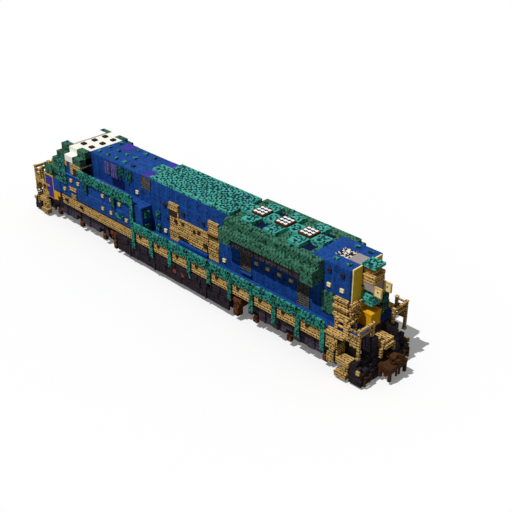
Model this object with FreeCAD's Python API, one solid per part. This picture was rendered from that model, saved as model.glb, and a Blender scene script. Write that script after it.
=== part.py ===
import FreeCAD, Part
import math
import os

# Six-axle road diesel locomotive: long hood, cab near one end and a low nose.
# The nose points to -X, the long hood's end to +X, and +Z is up, in millimetres.
# The origin is at mid length and mid width, level with the lowest point of the wheel flanges.

os.makedirs("parts", exist_ok=True)

# Lengths along the vehicle, from the nose end to the hood end
end_platform_length = 625.0
nose_length = 1500.0
cab_length = 1875.0
front_hood_length = 4375.0
engine_hood_length = 5000.0
radiator_hood_length = 4375.0
rear_hood_length = 1875.0
coupler_reach = 1250.0

# Widths across the vehicle
body_width = 3125.0
hood_width = 1875.0
frame_width = 3050.0

# Heights above the wheel flanges
deck_height = 1875.0
sill_over_wheels = 183.0
roof_height = 4375.0
coupler_height = 905.0

# Running gear
bogie_spacing = 14000.0
axle_spacing = 1875.0
track_gauge = 1435.0
wheel_diameter = 1067.0
flange_depth = 28.0
wheel_width = 140.0
flange_width = 34.0
tread_fall = 7.0
flange_tip = 14.0
wheel_rim_depth = 85.0
wheel_dish = 62.0
wheel_hub_radius = 150.0
hub_stand = 24.0
axle_radius = 98.0
journal_radius = 80.0
journal_centre = 1035.0
journal_length = 260.0

# Plates, walls and clearances
deck_plate = 50.0
wall = 50.0
glass_thickness = 12.0
running_clearance = 0.5
seat_gap = 0.3
door_gap = 10.0
moving_gap = 8.0
overrun = 20.0

# Places worked out from the sizes above
deck_length = (
    2 * end_platform_length + nose_length + cab_length + front_hood_length
    + engine_hood_length + radiator_hood_length + rear_hood_length
)
rear_x = deck_length / 2
front_x = -rear_x
nose_front = front_x + end_platform_length
cab_front = nose_front + nose_length
hood_front = cab_front + cab_length
engine_front = hood_front + front_hood_length
radiator_front = engine_front + engine_hood_length
rear_hood_front = radiator_front + radiator_hood_length
hood_rear = rear_hood_front + rear_hood_length
body_side = body_width / 2
hood_side = hood_width / 2
frame_side = frame_width / 2
wheel_radius = wheel_diameter / 2
sill_height = wheel_diameter + sill_over_wheels
axle_height = wheel_radius + flange_depth
bogie_centres = [-bogie_spacing / 2, bogie_spacing / 2]


def point(x, y, z):
    return FreeCAD.Vector(x, y, z)


def block(x0, x1, y0, y1, z0, z1):
    x0, x1 = sorted((x0, x1))
    y0, y1 = sorted((y0, y1))
    z0, z1 = sorted((z0, z1))
    return Part.makeBox(x1 - x0, y1 - y0, z1 - z0, point(x0, y0, z0))


def outline_face(points):
    return Part.Face(Part.makePolygon(points + points[:1]))


def side_prism(points, y0, y1):
    # an outline drawn in X and Z, run across the vehicle from y0 to y1
    face = outline_face([point(x, min(y0, y1), z) for x, z in points])
    return face.extrude(point(0, abs(y1 - y0), 0))


def end_prism(points, x0, x1):
    # an outline drawn in Y and Z, run along the vehicle from x0 to x1
    face = outline_face([point(min(x0, x1), y, z) for y, z in points])
    return face.extrude(point(abs(x1 - x0), 0, 0))


def plan_prism(points, z0, z1):
    # an outline drawn in X and Y, run upward from z0 to z1
    face = outline_face([point(x, y, min(z0, z1)) for x, y in points])
    return face.extrude(point(0, 0, abs(z1 - z0)))


def upright(radius, x, y, z0, z1):
    return Part.makeCylinder(radius, abs(z1 - z0), point(x, y, min(z0, z1)), point(0, 0, 1))


def crossbar(radius, x, z, y0, y1):
    return Part.makeCylinder(radius, abs(y1 - y0), point(x, min(y0, y1), z), point(0, 1, 0))


def joined(shapes):
    if len(shapes) == 1:
        return shapes[0]
    return shapes[0].multiFuse(shapes[1:]).removeSplitter()


def cut_by(shape, tools):
    return shape.cut(Part.makeCompound(tools))


def across(shape):
    # the same piece on the other side of the centreline
    return shape.mirror(point(0, 0, 0), point(0, 1, 0))


def other_end(shape):
    # the same piece at the nose end
    return shape.mirror(point(0, 0, 0), point(1, 0, 0))


def both_sides(shapes):
    return shapes + [across(s) for s in shapes]


def spread(count, first, last):
    return [first + (last - first) * k / (count - 1) for k in range(count)]


def save(name, shapes):
    solids = []
    for shape in shapes:
        solids += shape.Solids
    body = solids[0] if len(solids) == 1 else Part.makeCompound(solids)
    body.exportStep("parts/" + name + ".step")


# Doors hang on lift-off hinges: a pin stands in each fixed lug, and the leaf above it turns
pin_radius = 9.0
pin_stand = 16.0
lug_half = 13.0
hinge_height = 52.0
leaf_reach = 60.0
leaf_half = 8.0
hinge_inset = 150.0


def hinge_heights(z0, z1):
    return [z0 + hinge_inset, z1 - hinge_inset]


def side_pins(hinge_x, face_y, z0, z1):
    # pins and leaves that ride with a door on the -Y side; the door runs to +X from its pins
    pieces = []
    pin_y = face_y - pin_stand
    for z in hinge_heights(z0, z1):
        pieces.append(upright(pin_radius, hinge_x, pin_y, z - hinge_height, z + hinge_height))
        pieces.append(block(
            hinge_x, hinge_x + leaf_reach, pin_y - leaf_half, pin_y + leaf_half,
            z + seat_gap, z + hinge_height,
        ))
    return pieces


def side_lugs(hinge_x, face_y, z0, z1):
    # one bored lug under each leaf, fixed to the wall on the -Y side
    pieces = []
    pin_y = face_y - pin_stand
    for z in hinge_heights(z0, z1):
        lug = block(hinge_x - lug_half, hinge_x + lug_half, face_y, pin_y - lug_half, z - hinge_height, z)
        pieces.append(lug.cut(upright(pin_radius + running_clearance, hinge_x, pin_y, z - hinge_height, z)))
    return pieces


# Main frame: deck plate, two deep centre sills, side sills, cross bearers and draft pockets
sill_web = 40.0
sill_flange = 240.0
sill_flange_thickness = 40.0
centre_sill = 420.0
side_web = 25.0
side_lip = 120.0
bearer_length = 640.0
bearer_plate = 40.0
centre_pin_radius = 180.0
centre_pin_drop = 260.0
end_plate = 40.0
stair_inset = 60.0
pocket_length = 1050.0
pocket_side = 300.0
pocket_wall = 40.0
pocket_height = 330.0
draw_pin_radius = 45.0
draw_pin_inset = 560.0
well_side = 1000.0
pad_length = 300.0
pad_width = 160.0
pad_drop = 25.0
pad_side = 1400.0


def stair_well():
    return block(
        rear_x - end_platform_length + stair_inset, rear_x + overrun, well_side,
        body_side + overrun, sill_height - overrun, deck_height + overrun,
    )


def draft_pocket():
    low = coupler_height - pocket_height / 2
    shell = block(rear_x - pocket_length, rear_x, -pocket_side, pocket_side, low - pocket_wall, sill_height)
    room = block(
        rear_x - pocket_length + pocket_wall, rear_x + overrun, pocket_wall - pocket_side,
        pocket_side - pocket_wall, low, low + pocket_height,
    )
    pin = upright(draw_pin_radius, rear_x - draw_pin_inset, 0, low, low + pocket_height)
    return shell.cut(room).fuse(pin)


def draft_pockets():
    pocket = draft_pocket()
    return [pocket, other_end(pocket)]


def centre_pins():
    low = sill_height - centre_pin_drop
    return [upright(centre_pin_radius, x, 0, low, sill_height) for x in bogie_centres]


def jacking_pads():
    # pads under both ends of each bolster bearer
    pads = [
        block(
            x - pad_length / 2, x + pad_length / 2, -pad_side - pad_width / 2, -pad_side + pad_width / 2,
            sill_height - pad_drop, sill_height,
        )
        for x in bogie_centres
    ]
    return both_sides(pads)


def main_frame():
    deck = block(front_x, rear_x, -body_side, body_side, deck_height - deck_plate, deck_height)
    under = deck_height - deck_plate
    parts = [deck]
    for y in (-centre_sill, centre_sill):
        parts.append(block(front_x, rear_x, y - sill_web / 2, y + sill_web / 2, sill_height, under))
        parts.append(block(
            front_x, rear_x, y - sill_flange / 2, y + sill_flange / 2,
            sill_height, sill_height + sill_flange_thickness,
        ))
    for side in (-1, 1):
        web_y = side * frame_side
        parts.append(block(front_x, rear_x, web_y - side * side_web, web_y, sill_height, under))
        parts.append(block(
            front_x, rear_x, web_y - side * side_lip, web_y, sill_height, sill_height + side_web,
        ))
    for x in bogie_centres:
        box = block(
            x - bearer_length / 2, x + bearer_length / 2, -frame_side, frame_side,
            sill_height, under,
        )
        hollow = [
            block(
                x - bearer_length / 2 + bearer_plate, x + bearer_length / 2 - bearer_plate,
                side * (centre_sill + sill_web), side * (frame_side - side_web),
                sill_height + bearer_plate, under,
            )
            for side in (-1, 1)
        ]
        parts.append(cut_by(box, hollow))
    for end in (front_x, rear_x - end_plate):
        parts.append(block(end, end + end_plate, -well_side, well_side, sill_height, under))
    parts += jacking_pads()
    frame = joined(parts)
    well = stair_well()
    wells = both_sides([well, other_end(well)])
    return [cut_by(frame, wells)]


# Plank panels on the outside of the side sills
plank_low = 1290.0
plank_high = 1775.0


def sill_planks():
    panel = block(
        front_x + end_platform_length + nose_length, rear_x - end_platform_length + stair_inset,
        frame_side, body_side, plank_low, plank_high,
    )
    return both_sides([panel])


# Fuel tank between the bogies, with sloping lower corners
tank_length = 7500.0
tank_side = 1500.0
tank_low = 330.0
tank_chamfer = 230.0
tank_end_length = 560.0
tank_end_side = 1120.0
tank_end_low = 400.0


def fuel_tank():
    profile = [
        (-tank_side, sill_height), (-tank_side, tank_low + tank_chamfer),
        (-tank_side + tank_chamfer, tank_low), (tank_side - tank_chamfer, tank_low),
        (tank_side, tank_low + tank_chamfer), (tank_side, sill_height),
    ]
    return [end_prism(profile, -tank_length / 2, tank_length / 2)]


def tank_end_frames():
    # braced frames that close the tank's ends under the sills
    x0 = tank_length / 2
    x1 = x0 + tank_end_length
    brace = [
        (x0, tank_end_low), (x0 + tank_end_length / 2, tank_end_low),
        (x1, tank_end_low + tank_end_length), (x1, sill_height), (x0, sill_height),
    ]
    frame = side_prism(brace, -tank_end_side, tank_end_side)
    return [frame, other_end(frame)]


# Nose, with a top in three steps and a door in its front
nose_rise = 1250.0
nose_step = 312.5
nose_tiers = 3
nose_door_width = 620.0
nose_door_low = 2000.0
nose_door_high = 2990.0


def nose_outline(inset, bottom):
    # from the lower right corner over the tiers to the lower left one
    right = [(body_side - inset, bottom)]
    for tier in range(nose_tiers):
        side = body_side - tier * nose_step - inset
        top = deck_height + nose_rise - (nose_tiers - 1 - tier) * nose_step - inset
        if tier > 0:
            right.append((side, right[-1][1]))
        right.append((side, top))
    left = [(-y, z) for y, z in reversed(right)]
    return right + left


def nose():
    shell = end_prism(nose_outline(0, deck_height), nose_front, cab_front)
    room = end_prism(nose_outline(wall, deck_height - overrun), nose_front + wall, cab_front - wall)
    front_door = block(
        nose_front - overrun, nose_front + wall + overrun, -nose_door_width / 2, nose_door_width / 2,
        nose_door_low, nose_door_high,
    )
    side_door = block(
        side_door_x(), side_door_x() + side_door_length, -body_side - overrun, overrun - body_side + wall,
        deck_height + 2 * overrun, side_door_high - 2 * overrun,
    )
    shell = cut_by(shell, [room, front_door] + both_sides([side_door]))
    lugs = front_door_lugs()
    return [joined([shell] + lugs)]


# Front door of the nose, flush in the wall, with its pins outside the left edge
def front_pin():
    return nose_front - pin_stand, -nose_door_width / 2


def front_door_lugs():
    x, y = front_pin()
    pieces = []
    for z in hinge_heights(nose_door_low, nose_door_high):
        lug = block(x - lug_half, nose_front, y - lug_half, y + lug_half, z - hinge_height, z)
        pieces.append(lug.cut(upright(pin_radius + running_clearance, x, y, z - hinge_height, z)))
    return pieces


def nose_door():
    x, y = front_pin()
    panel = block(
        nose_front, nose_front + wall, y + door_gap, -y - door_gap,
        nose_door_low + door_gap, nose_door_high - door_gap,
    )
    pieces = [panel]
    for z in hinge_heights(nose_door_low, nose_door_high):
        low = z + seat_gap
        high = z + hinge_height
        pieces.append(upright(pin_radius, x, y, z - hinge_height, high))
        pieces.append(block(x - leaf_half, x + leaf_half, y, y + leaf_reach, low, high))
        pieces.append(block(x, nose_front, y + door_gap, y + leaf_reach, low, high))
    return [joined(pieces)]


# Locker doors low on both sides of the nose, in raised frames that hang over the sill
side_door_inset = 170.0
side_door_length = 540.0
side_door_low = 1300.0
side_door_high = 2455.0
side_door_thickness = 37.0
side_frame_border = 80.0


def side_door_x():
    return nose_front + side_door_inset + overlay_edge + side_frame_border


def side_hinge_x():
    return side_door_x() - overlay_edge


def locker_frames():
    x0 = side_hinge_x() - side_frame_border
    x1 = side_door_x() + side_door_length + side_frame_border
    outside = block(
        x0, x1, -body_side, side_door_thickness - body_side, sill_height + overrun,
        deck_height - deck_plate,
    )
    lugs = side_lugs(side_hinge_x(), -body_side, side_door_low, side_door_high)
    border = block(
        x0, x1, -body_side, -body_side - side_door_thickness, sill_height + overrun,
        side_door_high + side_frame_border,
    )
    gap = block(
        side_hinge_x() - side_door_thickness - moving_gap, side_door_x() + side_door_length + door_gap,
        -body_side, -body_side - side_door_thickness - overrun,
        side_door_low - door_gap, side_door_high + door_gap,
    )
    return both_sides([joined([outside, border.cut(gap)] + lugs)])


def locker_door(side):
    panel, pins = overlay_door(
        side_hinge_x(), side_door_length, side_door_thickness, side_door_low, side_door_high,
    )
    door = joined([panel] + pins)
    return [door if side < 0 else across(door)]


# Cab: hollow, floor above the deck, windows and doorways cut
cab_floor = 2500.0
cab_wall_top = 3750.0
eave_side = 1250.0
eave_height = 4062.0
hatch_length = 530.0
hatch_low = 2560.0
hatch_high = 3690.0
hatch_front_inset = 60.0
side_window_length = 500.0
side_window_low = 3175.0
side_window_high = 3690.0
side_window_front = 900.0
rear_opening_inner = 1000.0
rear_opening_outer = 1500.0
rear_opening_low = 3150.0
rear_opening_high = 3690.0
windshield_low = 3250.0
windshield_high = 3880.0
windshield_inner = 180.0
windshield_outer = 1060.0


def cab_profile(inset, bottom):
    side = body_side - inset
    eave = eave_side - inset
    return [
        (-side, bottom), (-side, eave_height - inset), (-eave, eave_height - inset),
        (-eave, roof_height - inset), (eave, roof_height - inset), (eave, eave_height - inset),
        (side, eave_height - inset), (side, bottom),
    ]


def cab_shell():
    outside = end_prism(cab_profile(0, deck_height), cab_front, hood_front)
    inside = end_prism(cab_profile(wall, cab_floor), cab_front + wall, hood_front - wall)
    below = block(
        cab_front + wall, hood_front - wall, wall - body_side, body_side - wall,
        deck_height - overrun, cab_floor - wall,
    )
    return cut_by(outside, [inside, below])


def cab_openings():
    hatch_front = cab_front + hatch_front_inset
    window_front = cab_front + side_window_front
    tools = []
    for side in (-1, 1):
        y0 = side * (body_side - wall - overrun)
        y1 = side * (body_side + overrun)
        tools.append(block(hatch_front, hatch_front + hatch_length, y0, y1, hatch_low, hatch_high))
        tools.append(block(
            window_front, window_front + side_window_length, y0, y1, side_window_low, side_window_high,
        ))
        tools.append(block(
            hood_front - wall - overrun, hood_front + overrun, side * rear_opening_inner,
            side * rear_opening_outer, rear_opening_low, rear_opening_high,
        ))
        tools.append(block(
            cab_front - overrun, cab_front + wall + overrun, side * windshield_inner,
            side * windshield_outer, windshield_low, windshield_high,
        ))
    return tools


def roof_part(shell):
    # what lies above the seam between the cab's walls and its roof
    return shell.common(block(
        cab_front - overrun, hood_front + overrun, -body_side - overrun, body_side + overrun,
        cab_wall_top, roof_height + overrun,
    ))


def cab_body():
    shell = cut_by(cab_shell(), cab_openings())
    lugs = side_lugs(hatch_hinge_x(), -body_side, hatch_panel_low, hatch_panel_high)
    return [joined([shell.cut(roof_part(shell))] + both_sides(lugs))]


def cab_roof():
    return [roof_part(cut_by(cab_shell(), cab_openings()))]


def cab_windows():
    panes = []
    window_front = cab_front + side_window_front
    for side in (-1, 1):
        y0 = side * (body_side - wall / 2)
        panes.append(block(
            window_front, window_front + side_window_length, y0, y0 + side * glass_thickness,
            side_window_low, side_window_high,
        ))
        x0 = cab_front + wall / 2
        panes.append(block(
            x0, x0 + glass_thickness, side * windshield_inner, side * windshield_outer,
            windshield_low, windshield_high,
        ))
    return panes


# Doors that lie on the face they close, hung from lugs beside their front edge
overlay_seat = 1.0
overlay_edge = 28.0


def overlay_door(hinge_x, length, thickness, low, high):
    x0 = hinge_x + overlay_edge
    y0 = -body_side - overlay_seat
    panel = block(x0, x0 + length, y0, y0 - thickness, low, high)
    return panel, side_pins(hinge_x, -body_side, low, high)


def lattice_holes(x0, x1, z0, z1, columns, rows, bar):
    # window rectangles of a lattice panel between x0..x1 and z0..z1
    holes = []
    step_x = (x1 - x0 - bar) / columns
    step_z = (z1 - z0 - bar) / rows
    for i in range(columns):
        for k in range(rows):
            left = x0 + bar + i * step_x
            low = z0 + bar + k * step_z
            holes.append((left, left + step_x - bar, low, low + step_z - bar))
    return holes


# Lattice hatch outside each cab doorway
hatch_thickness = 75.0
hatch_panel_low = 2505.0
hatch_panel_high = 3740.0
hatch_panel_length = 575.0
hatch_bar = 80.0
hatch_columns = 2
hatch_rows = 4


def hatch_hinge_x():
    return cab_front + lug_half


def cab_hatch(side):
    panel, pins = overlay_door(
        hatch_hinge_x(), hatch_panel_length, hatch_thickness, hatch_panel_low, hatch_panel_high,
    )
    x0 = hatch_hinge_x() + overlay_edge
    holes = [
        block(a, b, -body_side + overrun, -body_side - hatch_thickness - overrun, c, d)
        for a, b, c, d in lattice_holes(
            x0, x0 + hatch_panel_length, hatch_panel_low, hatch_panel_high,
            hatch_columns, hatch_rows, hatch_bar,
        )
    ]
    hatch = joined([cut_by(panel, holes)] + pins)
    return [hatch if side < 0 else across(hatch)]


# Lockers beside the front part of the hood, with a raised walkway on top
locker_top = 3125.0
locker_length = 3750.0
locker_recess = 40.0
locker_ledge = 2500.0
step_box_length = 625.0
rung_bar = 30.0
rung_stand = 105.0
rung_width = 380.0
rung_count = 3
rung_inset = 310.0


def lockers():
    rear = hood_front + locker_length
    lower = block(hood_front, rear, hood_side, body_side, deck_height, locker_ledge)
    upper = block(hood_front, rear, hood_side, body_side - locker_recess, locker_ledge, locker_top)
    step_box = block(
        rear, rear + step_box_length, hood_side, body_side - locker_recess, deck_height, locker_top,
    )
    return both_sides([joined([lower, upper, step_box])])


def ladder_rungs():
    # square grab bars on the rear face of each locker stack
    rear = hood_front + locker_length + step_box_length
    middle = (hood_side + body_side - locker_recess) / 2
    rungs = []
    for z in spread(rung_count, deck_height + rung_inset, locker_top - rung_inset):
        outside = block(
            rear, rear + rung_stand, middle - rung_width / 2, middle + rung_width / 2,
            z - rung_bar / 2, z + rung_bar / 2,
        )
        inside = block(
            rear - overrun, rear + rung_stand - rung_bar, middle - rung_width / 2 + rung_bar,
            middle + rung_width / 2 - rung_bar, z - rung_bar, z + rung_bar,
        )
        rungs.append(outside.cut(inside))
    return both_sides(rungs)


# Hood: four sections, each a roof and two walls, open below to the deck
engine_door_front = 640.0
engine_door_width = 560.0
engine_door_low = 1950.0
engine_door_high = 3700.0
bay_depth = 25.0
upper_bay_front = 1060.0
upper_bay_length = 1000.0
upper_bay_low = 3625.0
upper_bay_high = 4250.0
lower_bay_front = 1560.0
lower_bay_length = 940.0
lower_bay_low = 3190.0


def hood_shell(x0, x1, top, front_wall, rear_wall):
    outside = block(x0, x1, -hood_side, hood_side, deck_height, top)
    room = block(
        x0 + front_wall, x1 - rear_wall, wall - hood_side, hood_side - wall,
        deck_height - overrun, top - wall,
    )
    if front_wall == 0:
        room = room.fuse(block(
            x0 - overrun, x0 + overrun, wall - hood_side, hood_side - wall,
            deck_height - overrun, top - wall,
        ))
    if rear_wall == 0:
        room = room.fuse(block(
            x1 - overrun, x1 + overrun, wall - hood_side, hood_side - wall,
            deck_height - overrun, top - wall,
        ))
    return outside.cut(room)


def doorway(x0, x1, z0, z1):
    return block(x0, x1, -hood_side - overrun, overrun - hood_side + wall, z0, z1)


def front_hood():
    # with a pair of shallow window bays, one above the other, in each side
    shell = hood_shell(hood_front, engine_front, roof_height, wall, 0)
    bays = [
        block(
            hood_front + front, hood_front + front + length, -hood_side - overrun, bay_depth - hood_side,
            low, high,
        )
        for front, length, low, high in (
            (upper_bay_front, upper_bay_length, upper_bay_low, upper_bay_high),
            (lower_bay_front, lower_bay_length, lower_bay_low, upper_bay_low),
        )
    ]
    return [cut_by(shell, both_sides(bays))]


def hood_with_doors(x0, x1, top, front_wall, rear_wall, door_x, width, low, high):
    shell = hood_shell(x0, x1, top, front_wall, rear_wall)
    gap = doorway(door_x - door_gap, door_x + width + door_gap, low - door_gap, high + door_gap)
    shell = cut_by(shell, both_sides([gap]))
    lugs = side_lugs(door_x - door_gap, -hood_side, low, high)
    return joined([shell] + both_sides(lugs))


def engine_hood():
    return [hood_with_doors(
        engine_front, radiator_front, roof_height, 0, wall,
        engine_front + engine_door_front, engine_door_width, engine_door_low, engine_door_high,
    )]


def hood_door(door_x, width, low, high, side):
    panel = block(door_x, door_x + width, -hood_side, wall - hood_side, low, high)
    hinge_x = door_x - door_gap
    feet = [
        block(
            door_x, hinge_x + leaf_reach, -hood_side - pin_stand, -hood_side,
            z + seat_gap, z + hinge_height,
        )
        for z in hinge_heights(low, high)
    ]
    door = joined([panel] + feet + side_pins(hinge_x, -hood_side, low, high))
    return [door if side < 0 else across(door)]


# Radiator section: roof set down between the flares, three fan bores
fan_place_shares = [1.5 / 7, 3.5 / 7, 5.5 / 7]
radiator_drop = 80.0
fan_box = 640.0
fan_bore_radius = 290.0
fan_box_rise = 235.0
fan_box_top = roof_height + fan_box_rise
fan_box_depth = 330.0
guard_bar = 46.0
guard_depth = 40.0
guard_rows = 4
slot_rim_share = 1 / 3
fan_rotor_radius = 276.0
fan_hub_radius = 80.0
fan_hub_height = 120.0
fan_blades = 6
fan_blade_thickness = 8.0
fan_blade_width = 110.0
fan_blade_pitch = 32.0
fan_shaft_radius = 30.0
fan_spider_thickness = 30.0
fan_rise = 25.0
fan_height = roof_height + fan_rise


def fan_places():
    return [radiator_front + share * radiator_hood_length for share in fan_place_shares]


def radiator_hood():
    shell = hood_shell(radiator_front, rear_hood_front, roof_height - radiator_drop, 0, 0)
    half = fan_box / 2
    wells = [
        block(
            x - half, x + half, -half, half,
            roof_height - radiator_drop - wall - overrun, roof_height + overrun,
        )
        for x in fan_places()
    ]
    return [cut_by(shell, wells)]


def guard_slots(x):
    # square openings over the bore, short of its rim
    pitch = 2 * fan_bore_radius / guard_rows
    half = (pitch - guard_bar) / 2
    slots = []
    for dx in spread(guard_rows, pitch / 2 - fan_bore_radius, fan_bore_radius - pitch / 2):
        for dy in spread(guard_rows, pitch / 2 - fan_bore_radius, fan_bore_radius - pitch / 2):
            if math.hypot(dx, dy) < fan_bore_radius - pitch * slot_rim_share:
                slots.append(block(
                    x + dx - half, x + dx + half, dy - half, dy + half,
                    fan_box_top - guard_depth - overrun, fan_box_top + overrun,
                ))
    return slots


def fan_housing(x):
    # a square box bored for the fan, a guard over the bore, and a bearing on a crossbar under it
    half = fan_box / 2
    low = fan_box_top - fan_box_depth
    box = block(x - half, x + half, -half, half, low, fan_box_top)
    box = box.cut(upright(fan_bore_radius, x, 0, low - overrun, fan_box_top - guard_depth))
    box = cut_by(box, guard_slots(x))
    arm = block(x - half, x + half, -fan_hub_radius, fan_hub_radius, low, low + fan_spider_thickness)
    shaft_hole = upright(fan_shaft_radius + running_clearance, x, 0, low - overrun, low + 2 * overrun)
    return joined([box, arm]).cut(shaft_hole)


def fan_housings():
    return [fan_housing(x) for x in fan_places()]


def fan_rotor(x):
    low = fan_box_top - fan_box_depth
    shaft = upright(fan_shaft_radius, x, 0, low, fan_height)
    hub = upright(fan_hub_radius, x, 0, fan_height - fan_hub_height / 2, fan_height + fan_hub_height / 2)
    blades = []
    for k in range(fan_blades):
        blade = block(
            x + fan_hub_radius / 2, x + fan_rotor_radius, -fan_blade_width / 2, fan_blade_width / 2,
            fan_height - fan_blade_thickness / 2, fan_height + fan_blade_thickness / 2,
        )
        blade.rotate(point(x, 0, fan_height), point(1, 0, 0), fan_blade_pitch)
        blade.rotate(point(x, 0, fan_height), point(0, 0, 1), 360.0 * k / fan_blades)
        blades.append(blade)
    return [joined([shaft, hub] + blades)]


# Radiator flares: stepped boxes that overhang the walkways beside the fans
flare_length = 5000.0
flare_step_side = 1250.0
flare_step_height = 4062.0
flare_end_low = 3437.0
flare_middle_low = 3750.0
flare_end_length = 625.0
shutter_slats = 5
shutter_back_share = 1 / 3
shutter_slat_thickness = 14.0
shutter_tilt = 35.0
shutter_slat_half = 38.0


def flare_outline():
    return [
        (hood_side, flare_middle_low), (body_side, flare_middle_low), (body_side, flare_step_height),
        (flare_step_side, flare_step_height), (flare_step_side, roof_height), (hood_side, roof_height),
    ]


def radiator_flares():
    x0 = radiator_front
    x1 = radiator_front + flare_length
    parts = [end_prism(flare_outline(), x0, x1)]
    for a in (x0, x1 - flare_end_length):
        parts.append(block(
            a, a + flare_end_length, hood_side, body_side, flare_end_low, flare_middle_low,
        ))
    return both_sides([joined(parts)])


def radiator_shutters():
    # slatted row under each flare, between its two end boxes
    x0 = radiator_front + flare_end_length
    x1 = radiator_front + flare_length - flare_end_length
    depth = flare_middle_low - flare_end_low
    width = body_side - hood_side
    y = body_side - width * shutter_back_share
    pieces = [block(x0, x1, hood_side, y, flare_end_low, flare_middle_low)]
    for k in range(shutter_slats):
        z = flare_end_low + depth * (k + 1 / 2) / shutter_slats
        slat = block(
            x0, x1, y - shutter_slat_half, y + shutter_slat_half,
            z - shutter_slat_thickness / 2, z + shutter_slat_thickness / 2,
        )
        slat.rotate(point(x0, y, z), point(1, 0, 0), -shutter_tilt)
        pieces.append(slat)
    return both_sides([joined(pieces)])


def rear_hood():
    return [hood_shell(rear_hood_front, hood_rear, roof_height, wall, wall)]


# Roof panels of lattice over the engine, and one over the rear light
roof_panel_thickness = 117.0
roof_panel_lap = 625.0
roof_tongue_side = 312.5


def roof_panels():
    main = block(
        engine_front, radiator_front, -hood_side, hood_side, roof_height,
        roof_height + roof_panel_thickness,
    )
    tongue = block(
        engine_front - roof_panel_lap, engine_front, -roof_tongue_side, roof_tongue_side,
        roof_height, roof_height + roof_panel_thickness,
    )
    rear = block(
        hood_rear, rear_x, -roof_tongue_side, roof_tongue_side,
        roof_height, roof_height + roof_panel_thickness,
    )
    return [joined([main, tongue]), rear]


# Engine and generator under the hood, as one plain block on the deck
engine_length = 5600.0
engine_block_width = 1300.0
engine_block_height = 1750.0
engine_lead = 700.0


def engine_block():
    x0 = engine_front - engine_lead
    return [block(
        x0, x0 + engine_length, -engine_block_width / 2, engine_block_width / 2,
        deck_height, deck_height + engine_block_height,
    )]


# Plank intake panels on both sides of the engine hood
intake_front = 1250.0
intake_length = 3125.0
intake_column = 625.0
intake_stand = 90.0
intake_low = 1900.0
intake_mid = 2187.0
intake_shelf = 3125.0
intake_high = 3125.0


def intake_panels():
    x0 = engine_front + intake_front
    x1 = x0 + intake_length
    y0 = -hood_side
    y1 = y0 - intake_stand
    parts = [
        block(x0, x0 + intake_column, y0, y1, intake_low, intake_high + intake_column),
        block(x1 - intake_column, x1, y0, y1, intake_low, intake_high + intake_column),
        block(x0, x1, y0, y1, intake_mid, intake_shelf),
    ]
    return both_sides([joined(parts)])


# Handrails: lattice bands on posts along the walkways
post_width = 117.0
rail_thickness = 75.0
rail_low = 1844.0
rail_high = 2281.0
post_low = 969.0
rail_posts = 10
rail_front_inset = 625.0
stanchion_share = 2 / 3
upper_rail_low = 3062.0
upper_rail_high = 3562.0
upper_rail_lap = 310.0
rail_bar = 60.0
bay_holes = 2
upper_holes = 10


def walkway_rail(side):
    y0 = -body_side
    y1 = y0 - rail_thickness
    x0 = hood_front + locker_length
    x1 = hood_rear - rail_front_inset
    places = spread(rail_posts, x0, x1)
    band = block(x0, x1, y0, y1, rail_low, rail_high)
    openings = []
    for a, b in zip(places, places[1:]):
        openings += lattice_holes(
            a + post_width / 2, b - post_width / 2, rail_low, rail_high, bay_holes, 1, rail_bar,
        )
    upper_front = hood_front - upper_rail_lap
    upper = block(upper_front, x0, y0, y1, upper_rail_low, upper_rail_high)
    openings += lattice_holes(
        upper_front, x0 - post_width / 2, upper_rail_low, upper_rail_high, upper_holes, 1, rail_bar,
    )
    holes = [block(a, b, y0 + overrun, y1 - overrun, c, d) for a, b, c, d in openings]
    posts = [
        block(
            x - post_width / 2, x + post_width / 2, y0, y1, post_low,
            upper_rail_high if x == x0 else rail_high,
        )
        for x in places
    ]
    stanchions = [
        block(x - post_width / 2, x + post_width / 2, y0, y1, locker_ledge, upper_rail_high)
        for x in (hood_front + post_width, hood_front + locker_length * stanchion_share)
    ]
    rail = joined([cut_by(joined([band, upper]), holes)] + posts + stanchions)
    return [rail if side < 0 else across(rail)]


# Pilot at each end: two columns beside the coupler, a plough below and a plate for the air hoses
pilot_thickness = 469.0
pilot_inner = 469.0
pilot_outer = 781.0
pilot_top = 1875.0
plough_shelf = 210.0
plough_low = 100.0
plough_top = 640.0
plough_reach = 610.0
plough_side = 1250.0
hose_plate_side = 530.0
hose_plate_reach = 1187.0
hose_plate_thickness = 100.0


def pilot():
    x0 = rear_x
    x1 = x0 + pilot_thickness
    columns = [block(x0, x1, s * pilot_inner, s * pilot_outer, plough_top, pilot_top) for s in (-1, 1)]
    blade = side_prism(
        [
            (x0, plough_low), (x0 + plough_reach, plough_low), (x0 + plough_shelf, plough_top),
            (x0, plough_top),
        ],
        -plough_side, plough_side,
    )
    hose_plate = block(
        x0, x0 + hose_plate_reach, -hose_plate_side, hose_plate_side, plough_top,
        plough_top + hose_plate_thickness,
    )
    return joined(columns + [blade, hose_plate])


# Centre platform over the coupler
centre_platform_top = 1562.0
platform_side = 312.0


def centre_platform():
    return block(
        rear_x, rear_x + end_platform_length, -platform_side, platform_side,
        sill_height, centre_platform_top,
    )


# Corner steps: two cheeks and four treads
step_cheek = 40.0
step_low = 110.0
step_tread = 60.0
step_count = 4


def corner_steps():
    x0 = rear_x - end_platform_length + stair_inset
    cheeks = [
        block(x0, x0 + step_cheek, well_side, body_side, step_low, deck_height),
        block(rear_x - step_cheek, rear_x, well_side, body_side, step_low, deck_height),
    ]
    treads = [
        block(x0, rear_x, well_side, body_side, z, z + step_tread)
        for z in spread(step_count, step_low, deck_height - (deck_height - step_low) / step_count)
    ]
    return both_sides([joined(cheeks + treads)])


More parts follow.
